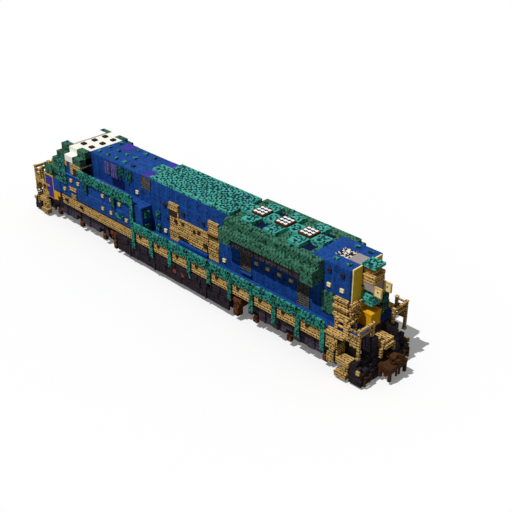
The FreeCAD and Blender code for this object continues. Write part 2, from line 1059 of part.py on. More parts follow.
# End railings in front of the steps and platforms
end_post = 110.0
end_rail_height = 2500.0
end_rail_low = 2190.0
end_post_inner = 625.0
end_post_outer = 1406.0


def end_railing():
    x0 = rear_x + (end_platform_length - end_post) / 2
    x1 = x0 + end_post
    outer = end_post_outer
    inner = end_post_inner
    parts = [
        block(x0, x1, inner - end_post / 2, inner + end_post / 2, pilot_top, end_rail_height),
        block(x0, x1, outer - end_post / 2, outer + end_post / 2, sill_height, end_rail_height),
        block(x0, x1, inner, outer, end_rail_height - end_post, end_rail_height),
        block(x0, x1, inner, outer, end_rail_low - end_post / 2, end_rail_low + end_post / 2),
        block(rear_x, x1, outer - end_post / 2, outer + end_post / 2, sill_height, sill_height + end_post),
        block(rear_x, x1, outer - end_post / 2, outer + end_post / 2,
              deck_height - end_post - deck_plate, deck_height - deck_plate),
    ]
    return both_sides([joined(parts)])


# Rear end of the long hood: plates, light housing, lamp plates and sand boxes
gold_inner = 312.0
gold_outer = 812.0
gold_low = 2500.0
gold_thickness = 60.0
stack_side = 312.0
light_box_low = 3750.0
light_box_step = 312.0
light_box_top = roof_height
shelf_low = 3437.0
lower_box_low = 2812.0
lower_box_high = 3187.0
lower_box_depth = 312.0
lamp_plate_reach = 400.0
lamp_plate_low = 3350.0
lamp_plate_high = 3775.0
lamp_plate_thickness = 60.0
lamp_hole_radius = 60.0
sand_box_top = 2500.0
side_box_length = 625.0
side_box_low = 2187.0
side_box_high = 3125.0
side_box_reaches = [52.5, 82.5]


def end_plates():
    plate = block(hood_rear, hood_rear + gold_thickness, gold_inner, gold_outer, gold_low, roof_height)
    return both_sides([plate])


def lamp_plate():
    # one of the two bored plates that stand out from the housing's rear corners
    x1 = rear_x + lamp_plate_reach
    y0 = stack_side - lamp_plate_thickness
    plate = block(rear_x, x1, y0, stack_side, lamp_plate_low, lamp_plate_high)
    bore = crossbar(
        lamp_hole_radius, (rear_x + x1) / 2, (lamp_plate_low + lamp_plate_high) / 2, y0 - overrun,
        stack_side + overrun,
    )
    return plate.cut(bore)


def rear_light():
    # stepped housing on its shelf, the lamp plates at its corners and a box on the wall below
    step_x = hood_rear + light_box_step
    step_z = (light_box_low + light_box_top) / 2
    housing = side_prism(
        [
            (hood_rear, shelf_low), (rear_x, shelf_low), (rear_x, step_z), (step_x, step_z),
            (step_x, light_box_top), (hood_rear, light_box_top),
        ],
        -stack_side, stack_side,
    )
    lower = block(
        hood_rear, hood_rear + lower_box_depth, -stack_side, stack_side, lower_box_low, lower_box_high,
    )
    return [joined([housing] + both_sides([lamp_plate()])), lower]


def sand_box():
    # one box in the middle of the rear wall and two on each side of the rear hood
    boxes = [block(hood_rear, rear_x, -stack_side, stack_side, deck_height, sand_box_top)]
    for number, reach in enumerate(side_box_reaches, 1):
        x0 = hood_rear - (len(side_box_reaches) + 1 - number) * side_box_length
        side = hood_side + reach
        boxes += both_sides([block(x0, x0 + side_box_length, hood_side, side, side_box_low, side_box_high)])
    return boxes


# Wheelset: one revolved section for both wheels, the axle and the journals
def wheelset(x):
    back = track_gauge / 2 - flange_width
    front = back + wheel_width
    flange_radius = wheel_radius + flange_depth
    rim_radius = wheel_radius - wheel_rim_depth
    journal_end = journal_centre + journal_length / 2 - seat_gap
    half = [
        (0, 0), (axle_radius, 0), (axle_radius, back), (flange_radius, back),
        (flange_radius, back + flange_tip), (wheel_radius, back + flange_width),
        (wheel_radius - tread_fall, front), (rim_radius, front), (wheel_hub_radius, front - wheel_dish),
        (journal_radius, front + hub_stand), (journal_radius, journal_end), (0, journal_end),
    ]
    face = outline_face([point(x, y, axle_height + r) for r, y in half])
    side = face.revolve(point(x, 0, axle_height), point(0, 1, 0), 360)
    return [joined([side, across(side)])]


# Bogie: two deep side frames, transoms, end beams and a bolster with the centre bearing
bogie_half = 2330.0
side_frame_plate = 180.0
side_frame_drop = 80.0
side_frame_top = sill_height - side_frame_drop
side_frame_rise = 78.5
side_frame_low = axle_height + side_frame_rise
jaw_half = 300.0
jaw_drop = 181.5
jaw_low = axle_height - jaw_drop
jaw_slot = 160.0
transom_half = 160.0
transom_rise = 238.5
transom_low = axle_height + transom_rise
bolster_drop = 60.0
bolster_top = sill_height - bolster_drop
cover_radius = 150.0
cover_stand = 40.0
cover_corners = 8
box_rise = 198.5
box_drop = 161.5
box_top = axle_height + box_rise
box_low = axle_height - box_drop


def bogie_frame(x):
    y0 = journal_centre - side_frame_plate / 2
    y1 = journal_centre + side_frame_plate / 2
    axles = [x - axle_spacing, x, x + axle_spacing]
    outline = [(x - bogie_half, side_frame_low)]
    for a in axles:
        if a - jaw_half > x - bogie_half:
            outline.append((a - jaw_half, side_frame_low))
        outline += [
            (max(a - jaw_half, x - bogie_half), jaw_low), (a - jaw_slot, jaw_low),
            (a - jaw_slot, box_top + moving_gap), (a + jaw_slot, box_top + moving_gap),
            (a + jaw_slot, jaw_low), (min(a + jaw_half, x + bogie_half), jaw_low),
            (min(a + jaw_half, x + bogie_half), side_frame_low),
        ]
    outline += [(x + bogie_half, side_frame_low), (x + bogie_half, side_frame_top),
                (x - bogie_half, side_frame_top)]
    seen = []
    for p in outline:
        if not seen or p != seen[-1]:
            seen.append(p)
    frames = both_sides([side_prism(seen, y0, y1)])
    beams = []
    for centre in (x - axle_spacing / 2, x + axle_spacing / 2):
        beams.append(block(
            centre - transom_half, centre + transom_half, -y0 - overrun, y0 + overrun,
            transom_low, side_frame_top,
        ))
    spine = block(
        x - axle_spacing / 2, x + axle_spacing / 2, -2 * centre_pin_radius, 2 * centre_pin_radius,
        wheel_diameter + flange_depth + moving_gap, side_frame_top,
    )
    bore = upright(
        centre_pin_radius + running_clearance, x, 0, transom_low - overrun, bolster_top + overrun,
    )
    return [cut_by(joined(frames + beams + [spine]), [bore])]


def journal_boxes(x):
    # bored boxes between the pedestal jaws, each with an eight-sided cover over the journal's end
    boxes = []
    y0 = journal_centre - journal_length / 2
    y1 = journal_centre + journal_length / 2
    for a in (x - axle_spacing, x, x + axle_spacing):
        turns = [2 * math.pi * (k + 1 / 2) / cover_corners for k in range(cover_corners)]
        cover = [(a + cover_radius * math.sin(t), axle_height + cover_radius * math.cos(t)) for t in turns]
        box = joined([
            block(a - jaw_slot, a + jaw_slot, y0 + overrun, y1, box_low, box_top + moving_gap),
            side_prism(cover, y1, y1 + cover_stand),
        ])
        boxes.append(box.cut(crossbar(journal_radius + running_clearance, a, axle_height, y0, y1)))
    return both_sides(boxes)


motor_side = 560.0
motor_drop = 311.5
motor_rise = 318.5
motor_low = axle_height - motor_drop
motor_high = axle_height + motor_rise


def traction_motors(x):
    motors = []
    for a, s in ((x - axle_spacing, 1), (x, 1), (x + axle_spacing, -1)):
        nose_end = a + s * (axle_spacing / 2 - transom_half)
        case = block(a, nose_end, -motor_side, motor_side, motor_low, motor_high)
        side = motor_side + overrun
        motors.append(case.cut(crossbar(axle_radius + moving_gap, a, axle_height, -side, side)))
    return motors


# Coupler: shank and head on a vertical draw pin, with a knuckle on its own pin
shank_half = 75.0
shank_tall = 75.0
eye_radius = 105.0
head_length = 430.0
head_half = 230.0
head_tall = 140.0
knuckle_pin_radius = 22.0
knuckle_pin_inset = 150.0
knuckle_pin_side = 150.0
knuckle_tall = 60.0


def coupler_head():
    face = rear_x + coupler_reach
    pivot = rear_x - draw_pin_inset
    shank = block(
        pivot, face - head_length + overrun, -shank_half, shank_half,
        coupler_height - shank_tall, coupler_height + shank_tall,
    )
    eye = upright(eye_radius, pivot, 0, coupler_height - shank_tall, coupler_height + shank_tall)
    back = face - head_length
    outline = [
        (back, -head_half / 2), (back + head_length / 4, -head_half),
        (face - knuckle_pin_inset, -head_half), (face - knuckle_pin_inset, -head_half / 2),
        (back + head_length / 2, -head_half / 4),
        (back + head_length / 2, head_half / 3), (face - head_length / 8, head_half * 2 / 3),
        (face, head_half), (face - head_length / 4, head_half), (back, head_half / 2),
    ]
    head = plan_prism(outline, coupler_height - head_tall, coupler_height + head_tall)
    room = upright(
        knuckle_room_radius(), face - knuckle_pin_inset - knuckle_pin_radius, -knuckle_pin_side,
        coupler_height - knuckle_tall - moving_gap, coupler_height + knuckle_tall + moving_gap,
    )
    pin = upright(
        knuckle_pin_radius, face - knuckle_pin_inset - knuckle_pin_radius, -knuckle_pin_side,
        coupler_height - head_tall, coupler_height + head_tall,
    )
    bore = upright(
        draw_pin_radius + running_clearance, pivot, 0, coupler_height - 2 * shank_tall,
        coupler_height + 2 * shank_tall,
    )
    body = cut_by(joined([shank, eye, head]), [room, bore])
    return joined([body, pin])


def knuckle_room_radius():
    return head_half / 2


def knuckle():
    face = rear_x + coupler_reach
    pin_x = face - knuckle_pin_inset - knuckle_pin_radius
    eye = upright(
        knuckle_pin_radius * 2, pin_x, -knuckle_pin_side,
        coupler_height - knuckle_tall, coupler_height + knuckle_tall,
    )
    outline = [
        (pin_x, -knuckle_pin_side - knuckle_pin_radius * 2), (face - knuckle_pin_radius, -knuckle_pin_side),
        (face, -knuckle_pin_side / 2), (face - knuckle_pin_radius, 0),
        (face - knuckle_pin_inset / 2, 0), (pin_x, -knuckle_pin_side + knuckle_pin_radius * 2),
    ]
    nose_part = plan_prism(outline, coupler_height - knuckle_tall, coupler_height + knuckle_tall)
    bore = upright(
        knuckle_pin_radius + running_clearance, pin_x, -knuckle_pin_side,
        coupler_height - 2 * knuckle_tall, coupler_height + 2 * knuckle_tall,
    )
    return joined([eye, nose_part]).cut(bore)


save("main_frame", main_frame())
save("draft_pockets", draft_pockets())
save("centre_pins", centre_pins())
save("sill_planks", sill_planks())
save("fuel_tank", fuel_tank())
save("tank_end_frames", tank_end_frames())
save("nose", nose())
save("nose_door", nose_door())
save("locker_frames", locker_frames())
save("cab_body", cab_body())
save("cab_roof", cab_roof())
save("cab_windows", cab_windows())
save("lockers", lockers())
save("ladder_rungs", ladder_rungs())
save("front_hood", front_hood())
save("engine_hood", engine_hood())
save("radiator_hood", radiator_hood())
save("radiator_flares", radiator_flares())
save("radiator_shutters", radiator_shutters())
save("rear_hood", rear_hood())
save("roof_panels", roof_panels())
save("fan_housings", fan_housings())
save("engine_block", engine_block())
save("intake_panels", intake_panels())
save("corner_steps", corner_steps() + [other_end(s) for s in corner_steps()])
save("end_railings", end_railing() + [other_end(s) for s in end_railing()])
save("end_plates", end_plates())
save("rear_light", rear_light())
save("sand_box", sand_box())
save("pilots", [pilot(), other_end(pilot())])
save("centre_platforms", [centre_platform(), other_end(centre_platform())])
for name, side in (("left", 1), ("right", -1)):
    save("handrail_" + name, walkway_rail(side))
    save("cab_hatch_" + name, cab_hatch(side))
    save("locker_door_" + name, locker_door(side))
    save("engine_door_" + name, hood_door(
        engine_front + engine_door_front, engine_door_width, engine_door_low, engine_door_high, side,
    ))
for number, place in enumerate(fan_places(), 1):
    save("fan_%d" % number, fan_rotor(place))
for name, place in (("front", bogie_centres[0]), ("rear", bogie_centres[1])):
    save("bogie_frame_" + name, bogie_frame(place))
    save("journal_boxes_" + name, journal_boxes(place))
    save("traction_motors_" + name, traction_motors(place))
axles = [c + k * axle_spacing for c in bogie_centres for k in (-1, 0, 1)]
for number, place in enumerate(axles, 1):
    save("wheelset_%d" % number, wheelset(place))
save("coupler_rear", [coupler_head()])
save("knuckle_rear", [knuckle()])
save("coupler_front", [other_end(across(coupler_head()))])
save("knuckle_front", [other_end(across(knuckle()))])
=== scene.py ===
import math

import bpy
from mathutils import Matrix, Vector


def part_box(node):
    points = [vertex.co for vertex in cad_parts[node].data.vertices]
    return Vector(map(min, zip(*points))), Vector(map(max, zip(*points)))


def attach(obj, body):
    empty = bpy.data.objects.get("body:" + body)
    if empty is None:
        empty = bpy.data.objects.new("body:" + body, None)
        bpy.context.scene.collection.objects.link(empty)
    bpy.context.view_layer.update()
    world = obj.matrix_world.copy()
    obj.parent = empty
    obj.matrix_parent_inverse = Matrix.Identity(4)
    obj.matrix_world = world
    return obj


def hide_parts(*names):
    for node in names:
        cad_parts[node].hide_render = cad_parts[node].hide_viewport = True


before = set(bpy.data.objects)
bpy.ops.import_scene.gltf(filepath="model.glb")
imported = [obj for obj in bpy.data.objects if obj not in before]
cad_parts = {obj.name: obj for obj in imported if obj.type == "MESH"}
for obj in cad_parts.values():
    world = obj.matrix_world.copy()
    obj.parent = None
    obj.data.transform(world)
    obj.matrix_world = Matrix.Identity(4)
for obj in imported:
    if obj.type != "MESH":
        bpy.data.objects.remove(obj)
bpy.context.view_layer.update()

# The body is laid out in bays. A place in bays is counted from the rear wall of the long hood,
# the centreline and the hood roof, and the near side is -Y.
bay = 0.625
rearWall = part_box("rear_hood")[1].x
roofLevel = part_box("rear_hood")[1].z
px = 1 / 16  # the finest step of the body's pattern, in bays
cell = bay * px
latticeCells = 8  # cells to a bay, in the lattices and in the barred gates
gateCells = 12


# Modelling helpers


def spot(x, y, z):
    return Vector((rearWall + x * bay, y * bay, roofLevel + z * bay))


def deselectAll():
    bpy.ops.object.select_all(action="DESELECT")


def pick(*things):
    deselectAll()
    for thing in things:
        thing.select_set(True)
    bpy.context.view_layer.objects.active = things[0]


def named(thing, name):
    thing.name = thing.data.name = name
    return thing


def placeInMesh(thing):
    pick(thing)
    bpy.ops.object.transform_apply(location=True, rotation=True, scale=True)
    return thing


def modify(thing, kind, **settings):
    modifier = thing.modifiers.new(kind.lower(), kind)
    for key, value in settings.items():
        setattr(modifier, key, value)
    pick(thing)
    bpy.ops.object.modifier_apply(modifier=modifier.name)
    return thing


def editFaces(thing, wanted):
    pick(thing)
    bpy.ops.object.mode_set(mode="EDIT")
    bpy.ops.mesh.select_mode(type="FACE")
    bpy.ops.mesh.select_all(action="DESELECT")
    doneEditing()
    for face in thing.data.polygons:
        face.select = wanted(face)
    bpy.ops.object.mode_set(mode="EDIT")


def doneEditing():
    bpy.ops.object.mode_set(mode="OBJECT")


def stepFaces(*rings):
    # each ring is set in from the last one and moved up or down
    for inset, lift in rings:
        bpy.ops.mesh.inset(thickness=inset)
        bpy.ops.transform.translate(value=(0, 0, lift))


def crates(name, places, edge=0.008, segments=1):
    # square-cut blocks in one mesh, each with its edges taken off; places are x0, x1, y0, y1, z0, z1
    deselectAll()
    thing = None
    for x0, x1, y0, y1, z0, z1 in places:
        low, high = spot(x0, y0, z0), spot(x1, y1, z1)
        bpy.ops.mesh.primitive_cube_add(size=1, location=(low + high) / 2, scale=[abs(v) for v in high - low])
        if not thing:
            thing = placeInMesh(bpy.context.object)
            bpy.ops.object.mode_set(mode="EDIT")
    bpy.ops.mesh.select_all(action="SELECT")
    bpy.ops.mesh.bevel(offset=edge, segments=segments, affect="EDGES", clamp_overlap=True)
    doneEditing()
    return named(thing, name)


def around(x0, x1, y0, y1, wide, low, high):
    # four bars round a rectangle
    return [(x0, x1, y0, y0 + wide, low, high), (x0, x1, y1 - wide, y1, low, high),
            (x0, x0 + wide, y0 + wide, y1 - wide, low, high), (x1 - wide, x1, y0 + wide, y1 - wide, low, high)]


def turned(thing, degrees, axis):
    thing.data.transform(Matrix.Rotation(math.radians(degrees), 4, axis))
    return thing


def copied(thing):
    copy = thing.copy()
    copy.data = thing.data.copy()
    bpy.context.scene.collection.objects.link(copy)
    return copy


def joined(name, *things):
    pick(*things)
    if len(things) > 1:
        bpy.ops.object.join()
    return named(things[0], name)


def stamped(name, master, places):
    # copies of the master at the places, in one piece; the master itself goes
    made = [copied(master) for place in places]
    for thing, place in zip(made, places):
        thing.data.transform(Matrix.Translation(spot(*place)))
    bpy.data.objects.remove(master)
    return joined(name, *made)


def mirrored(thing, across="Y"):
    sides = ["X" in across, "Y" in across, False]
    return modify(thing, "MIRROR", use_axis=sides, use_mirror_merge=False)


def latticePanel(corner, along, across, cells, isOpen, depth):
    # a flat grid with the open cells taken out, then given its depth behind the seen face; all in bays
    deselectAll()
    bpy.ops.mesh.primitive_grid_add(x_subdivisions=cells[0], y_subdivisions=cells[1], size=1)
    panel = bpy.context.object

    def wanted(face):
        return isOpen(*(int((place + 0.5) * count) for place, count in zip(face.center, cells)))

    editFaces(panel, wanted)
    bpy.ops.mesh.delete(type="FACE")
    doneEditing()
    along, across = Vector(along) * bay, Vector(across) * bay
    turn = Matrix((along, across, along.cross(across).normalized())).transposed().to_4x4()
    panel.data.transform(Matrix.Translation(spot(*corner) + (along + across) / 2) @ turn)
    return modify(panel, "SOLIDIFY", thickness=depth * bay, offset=-1, use_even_offset=False)


def settle(thing, made, body="root", stands=()):
    # gives a piece its finish and its body, and hides the CAD nodes that it stands for
    thing.data.materials.clear()
    thing.data.materials.append(made)
    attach(thing, body)
    if stands:
        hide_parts(*stands)


def settleTwins(thing, made, body, swap=("right", "left"), axis=(0, 1, 0), stands=False):
    # a piece and its mirror image, each on its own body; swap turns the one's names into the other's
    twin = named(copied(thing), thing.name.replace(*swap))
    twin.data.transform(Matrix.Scale(-1, 4, Vector(axis)))
    pick(twin)
    bpy.ops.object.mode_set(mode="EDIT")
    bpy.ops.mesh.select_all(action="SELECT")
    bpy.ops.mesh.normals_make_consistent(inside=False)
    doneEditing()
    for piece, rides in ((twin, body.replace(*swap)), (thing, body)):
        settle(piece, made, body=rides, stands=[rides] if stands else ())


def layBlocks(rows, across="Y"):
    # a row is a piece's name, finish, size of edges and blocks, and the CAD nodes that it stands for
    for name, (made, edge, places, *stands) in rows.items():
        thing = crates(name, places, edge)
        settle(mirrored(thing, across) if across else thing, made, stands=stands)


# Node helpers


def linear(colour):
    shares = [c / 255 for c in colour]
    return [s / 12.92 if s <= 0.04045 else ((s + 0.055) / 1.055) ** 2.4 for s in shares] + [1.0]


def openTree(opened):
    # the node calls after this add to the opened tree
    global tree
    tree = opened
    return opened


def wire(socket, value):
    if isinstance(value, bpy.types.NodeSocket):
        tree.links.new(value, socket)
    else:
        socket.default_value = value


def added(kind, *values, **settings):
    node = tree.nodes.new("ShaderNode" + kind)
    for key, value in settings.items():
        setattr(node, key, value)
    for socket, value in zip(node.inputs, values):
        wire(socket, value)
    return node


def placed(group, **values):
    node = added("Group", node_tree=group)
    for label, value in values.items():
        wire(node.inputs[label], value)
    return node.outputs


def calc(operation, *values, clamp=False):
    return added("Math", *values, operation=operation, use_clamp=clamp).outputs[0]


def vector(operation, *values):
    node = added("VectorMath", *values, operation=operation)
    return node.outputs["Value" if operation == "DOT_PRODUCT" else "Vector"]


def parts(value):
    return added("SeparateXYZ", value).outputs


def together(x, y, z):
    return added("CombineXYZ", x, y, z).outputs[0]


def noise(place, scale, detail, roughness=0.5):
    node = added("TexNoise", place)
    for label, value in (("Scale", scale), ("Detail", detail), ("Roughness", roughness)):
        node.inputs[label].default_value = value
    return node.outputs[0]


def whiteNoise(place):
    return added("TexWhiteNoise", place, noise_dimensions="3D").outputs["Value"]


def ramp(value, low, high, start=0.0, end=1.0):
    return added("MapRange", value, low, high, start, end, clamp=True).outputs[0]


def blend(share, first, second):
    node = added("Mix", share, data_type="RGBA")
    wire(node.inputs[6], first)
    wire(node.inputs[7], second)
    return node.outputs[2]


def lighten(colour, level):
    node = added("HueSaturation")
    wire(node.inputs["Color"], colour)
    wire(node.inputs["Value"], level)
    return node.outputs[0]


def sway(level, tone, amount):
    # lighter and darker by a tone, about the same middle
    return calc("MULTIPLY_ADD", tone, 2 * amount, calc("SUBTRACT", level, amount))


def behind(where, place, depth):
    # the place moved behind the face; depth is below 0
    node = added("VectorMath", where["Normal"], operation="SCALE")
    wire(node.inputs["Scale"], depth)
    return vector("ADD", place, node.outputs[0])


def newGroup(name, inputs, outputs):
    group = openTree(bpy.data.node_groups.new(name, "ShaderNodeTree"))
    for label, value in inputs.items():
        socket = group.interface.new_socket(label, in_out="INPUT", socket_type="NodeSocketFloat")
        socket.default_value = value
    for label in outputs:
        group.interface.new_socket(label, in_out="OUTPUT", socket_type="NodeSocketFloat")
    ends = group.nodes.new("NodeGroupInput").outputs, group.nodes.new("NodeGroupOutput").inputs
    return group, *ends, added("TexCoord").outputs


def newMaterial(name):
    made = bpy.data.materials.new(name)
    made.use_nodes = True
    return made, openTree(made.node_tree).nodes["Principled BSDF"].inputs


# Shared surface effects


def makeMosaic():
    # small square tones on a fixed grid, read from just behind the face so that no face lies on a grid line
    group, given, out, where = newGroup("mosaic", {"Cell": cell}, ("Fine", "Weave", "Broad", "Drift"))
    size = given["Cell"]
    place = behind(where, where["Object"], calc("MULTIPLY", size, -0.45))
    step = together(size, size, size)
    wide = calc("MULTIPLY", size, 4.0)
    x, y, z = parts(vector("FLOOR", vector("DIVIDE", place, step)))
    total = calc("ADD", calc("ADD", x, y), z)
    wire(out["Fine"], whiteNoise(vector("SNAP", place, step)))
    wire(out["Weave"], calc("PINGPONG", total, 1.0))
    wire(out["Broad"], whiteNoise(vector("SNAP", place, together(wide, wide, wide))))
    wire(out["Drift"], noise(where["Object"], 1.3, 3.0))
    return group


def makeCourses():
    # boards, bricks or plates: rows along a wall, each row broken at its own places
    sizes = {"Length": 0.625, "Height": 0.156, "Seam": 0.008}
    group, given, out, where = newGroup("courses", sizes, ("Seam", "Dash", "Tone", "Grain"))
    length, height, seam = (given[label] for label in sizes)
    facing = parts(vector("ABSOLUTE", where["Normal"]))
    x, y, z = parts(behind(where, vector("ADD", where["Object"], (20.0, 20.0, 20.0)), -0.006))
    isEnd = calc("GREATER_THAN", facing[0], 0.7)
    isTop = calc("GREATER_THAN", facing[2], 0.7)

    def either(choice, first, second):
        return calc("ADD", calc("MULTIPLY", choice, calc("SUBTRACT", second, first)), first)

    def toEdge(value, period):
        share = calc("FRACT", calc("DIVIDE", value, period))
        return calc("MULTIPLY", calc("MINIMUM", share, calc("SUBTRACT", 1.0, share)), period)

    along = either(isEnd, x, y)
    across = either(isTop, z, y)
    row = calc("FLOOR", calc("DIVIDE", across, height))
    start = calc("MULTIPLY", whiteNoise(together(row, 3.0, isTop)), length)
    shifted = calc("ADD", along, start)
    column = calc("FLOOR", calc("DIVIDE", shifted, length))
    side = calc("ADD", isTop, calc("MULTIPLY", isEnd, 2.0))
    tone = whiteNoise(together(row, column, side))
    nearest = calc("MINIMUM", toEdge(across, height), toEdge(shifted, length))
    line = ramp(nearest, seam, calc("MULTIPLY", seam, 0.6))
    step = calc("FLOOR", calc("DIVIDE", along, 2 * cell))
    level = calc("FLOOR", calc("ADD", calc("DIVIDE", across, height), 0.5))
    kept = calc("GREATER_THAN", whiteNoise(together(step, level, 9.0)), 0.15)
    kept = calc("MULTIPLY", kept, calc("PINGPONG", calc("ADD", step, level), 1.0))
    fibre = together(calc("MULTIPLY", shifted, 2.2), calc("MULTIPLY", across, 46.0), tone)
    wire(out["Seam"], line)
    wire(out["Dash"], calc("MULTIPLY", line, kept))
    wire(out["Tone"], tone)
    wire(out["Grain"], noise(fibre, 1.0, 3.0, 0.6))
    return group


def makeWear():
    # bare and rubbed edges
    group, given, out, where = newGroup("wear", {"Reach": 0.012, "Amount": 0.5}, ["Edge"])
    soft = added("Bevel", given["Reach"], samples=3).outputs[0]
    surface = added("NewGeometry").outputs["Normal"]
    turn = calc("SUBTRACT", 1.0, vector("DOT_PRODUCT", soft, surface))
    patch = ramp(noise(where["Object"], 9.0, 4.0, 0.6), 0.38, 0.62)
    edge = calc("MULTIPLY", ramp(turn, 0.01, 0.12), patch)
    wire(out["Edge"], calc("MULTIPLY", edge, given["Amount"], clamp=True))
    return group


def makeWeather():
    # dust on what faces up, rain streaks on walls, and road grime near the rail
    shares = {"Dust": 0.2, "Streaks": 0.3, "Grime": 0.4}
    group, given, out, where = newGroup("weather", shares, ("Dust", "Streak", "Grime"))
    facing, level = parts(where["Normal"])[2], parts(where["Object"])[2]
    cloud = noise(where["Object"], 1.9, 5.0, 0.62)
    dust = calc("MULTIPLY", ramp(facing, 0.4, 0.9), ramp(cloud, 0.35, 0.75))
    wall = ramp(calc("ABSOLUTE", facing), 0.6, 0.2)
    drawn = vector("MULTIPLY", where["Object"], (7.0, 7.0, 0.45))
    streak = calc("MULTIPLY", ramp(noise(drawn, 1.0, 3.0, 0.55), 0.52, 0.74), wall)
    low = ramp(calc("ADD", level, calc("MULTIPLY", cloud, 0.8)), 2.6, 0.5)
    wire(out["Dust"], calc("MULTIPLY", dust, given["Dust"]))
    wire(out["Streak"], calc("MULTIPLY", streak, given["Streaks"]))
    wire(out["Grime"], calc("MULTIPLY", low, given["Grime"]))
    return group


mosaic = makeMosaic()
courses = makeCourses()
wear = makeWear()
weather = makeWeather()
print("surface effects made")


# Finishes

plainFinish = {
    "second": None,  # a second tone, and the share of cells that have it
    "share": 0.4,
    "fine": 0.16,
    "weave": 0,  # how far every second cell is lighter
    "broad": 0.10,
    "drift": 0.12,
    "cell": cell,
    "length": 0,  # courses, where the length isn't 0
    "height": 0.156,
    "seam": 0.008,
    "seamDark": 0.55,
    "dashed": False,  # whether the seams are darker in places
    "tone": 0,
    "grain": 0,
    "bare": (150, 150, 148),
    "bareAmount": 0.35,
    "reach": 0.010,
    "dust": 0.05,
    "dustColour": (150, 142, 125),
    "streaks": 0.25,
    "grime": 0.35,
    "grimeColour": (38, 31, 26),
    "roughness": 0.7,
    "metallic": 0,
    "specular": 0.06,
    "relief": 0.001,  # how deep the pattern is pressed
    "press": 0.6,  # how much of it shows
    "streakShade": 0.45,
    "roughSway": 0.12,
}


def finish(name, slot, colour, base={}, **look):
    look = {**plainFinish, **base, **look}
    made, shader = newMaterial(name)
    tones = placed(mosaic, Cell=look["cell"])
    colour = linear(colour)
    if look["second"]:
        choice = calc("LESS_THAN", tones["Fine"], look["share"])
        colour = blend(choice, colour, linear(look["second"]))
    level = 1.0
    for label in ("Fine", "Weave", "Broad", "Drift"):
        level = sway(level, tones[label], look[label.lower()])
    height = calc("MULTIPLY", tones["Fine"], 0.6)
    if look["length"]:
        laid = placed(courses, Length=look["length"], Height=look["height"], Seam=look["seam"])
        for label in ("Tone", "Grain"):
            level = sway(level, laid[label], look[label.lower()])
        line = laid["Seam"]
        height = calc("SUBTRACT", calc("ADD", height, laid["Grain"]), calc("MULTIPLY", line, 3))
        if look["dashed"]:
            line = calc("MULTIPLY_ADD", laid["Dash"], 0.5, calc("MULTIPLY", line, 0.5))
        level = calc("MULTIPLY", level, calc("MULTIPLY_ADD", line, -look["seamDark"], 1))
    colour = lighten(colour, level)
    marks = placed(weather, Dust=look["dust"], Streaks=look["streaks"], Grime=look["grime"])
    rubbed = placed(wear, Reach=look["reach"], Amount=look["bareAmount"])["Edge"]
    colour = blend(marks["Streak"], colour, lighten(colour, look["streakShade"]))
    for mark, key in ((marks["Grime"], "grimeColour"), (marks["Dust"], "dustColour"), (rubbed, "bare")):
        colour = blend(mark, colour, linear(look[key]))
    wire(shader["Base Color"], colour)
    rough = sway(look["roughness"], tones["Drift"], look["roughSway"])
    wire(shader["Roughness"], calc("MULTIPLY_ADD", marks["Dust"], 0.25, rough, clamp=True))
    shader["Metallic"].default_value = look["metallic"]
    shader["Specular IOR Level"].default_value = look["specular"]
    bump = added("Bump")
    bump.inputs["Strength"].default_value = look["press"]
    bump.inputs["Distance"].default_value = look["relief"]
    wire(bump.inputs["Height"], height)
    wire(shader["Normal"], bump.outputs[0])
    return made


blueLook = dict(cell=2 * cell, fine=0.3, drift=0.1, bare=(70, 100, 150), dust=0.02)
boardLook = dict(fine=0.12, broad=0.06, height=bay / 5.5, length=bay, seam=0.034, seamDark=0.95, dashed=True, tone=0.1,
                 grain=0.2, bare=(226, 198, 140), bareAmount=0.5, streaks=0.12, grime=0.2, roughness=0.8, relief=0.0024)
brickLook = dict(cell=2 * cell, fine=0.35, broad=0.18, height=bay / 4, length=bay / 2, seam=0.018, seamDark=0.6,
                 tone=0.3, grain=0.08, bare=(92, 84, 96), bareAmount=0.4, dust=0.08, dustColour=(78, 70, 72),
                 streaks=0.15, grime=0.15, roughness=0.75, relief=0.0032)
tealLook = dict(second=(20, 86, 80), share=0.26, cell=2 * cell, fine=0.22, bare=(120, 190, 172), bareAmount=0.3,
                streaks=0.2, grime=0.15, dust=0.02)
greenLook = dict(second=(24, 56, 44), share=0.2, cell=2 * cell, fine=0.36, weave=0.38, broad=0.06,
                 bare=(110, 150, 122), bareAmount=0.2, dust=0.02)

blue = finish("blue_panels", "blue_paint", (25, 68, 138), blueLook, length=bay, height=2 * bay, seam=0.014,
              seamDark=-0.7)
paleBlue = finish("pale_blue", "blue_paint", (46, 92, 172), blueLook)
deepBlue = finish("deep_blue", "blue_paint", (14, 30, 78), blueLook)
# a darker blue on the well floors: painted shade, as the wells are shallow
wellShadeBlue = finish("well_blue", "blue_paint", (8, 20, 62), blueLook, dust=0.01)
# a dark sheet laid under the lattices, so that their slots show painted shade
paintedShadeCore = finish("dark_core", "teal_paint", (6, 36, 40), second=(10, 32, 104), share=0.3, cell=3 * cell, fine=0.4,
                  dust=0, grime=0.1, bareAmount=0.1)
teal = finish("teal_lattice", "teal_paint", (72, 166, 150), tealLook)
darkTeal = finish("dark_teal", "teal_paint", (28, 96, 84), tealLook, second=(10, 42, 40), share=0.4)
hatchTeal = finish("hatch_teal", "teal_paint", (52, 132, 118), tealLook, second=(14, 62, 58), share=0.4)
capTeal = finish("cap_teal", "teal_paint", (58, 138, 124), tealLook, second=(12, 54, 52), share=0.45)
railTeal = finish("rail_teal", "teal_paint", (50, 142, 124), tealLook, second=(22, 84, 74), share=0.34)
green = finish("green_mosaic", "green_paint", (54, 104, 82), greenLook)
cabGreen = finish("cab_green", "green_paint", (52, 96, 74), greenLook, second=(22, 50, 40))
tan = finish("tan_boards", "tan_boards", (226, 184, 110), boardLook)
brown = finish("brown_boards", "brown_paint", (82, 52, 26), boardLook, bare=(124, 88, 52), seamDark=0.5, dust=0.02)
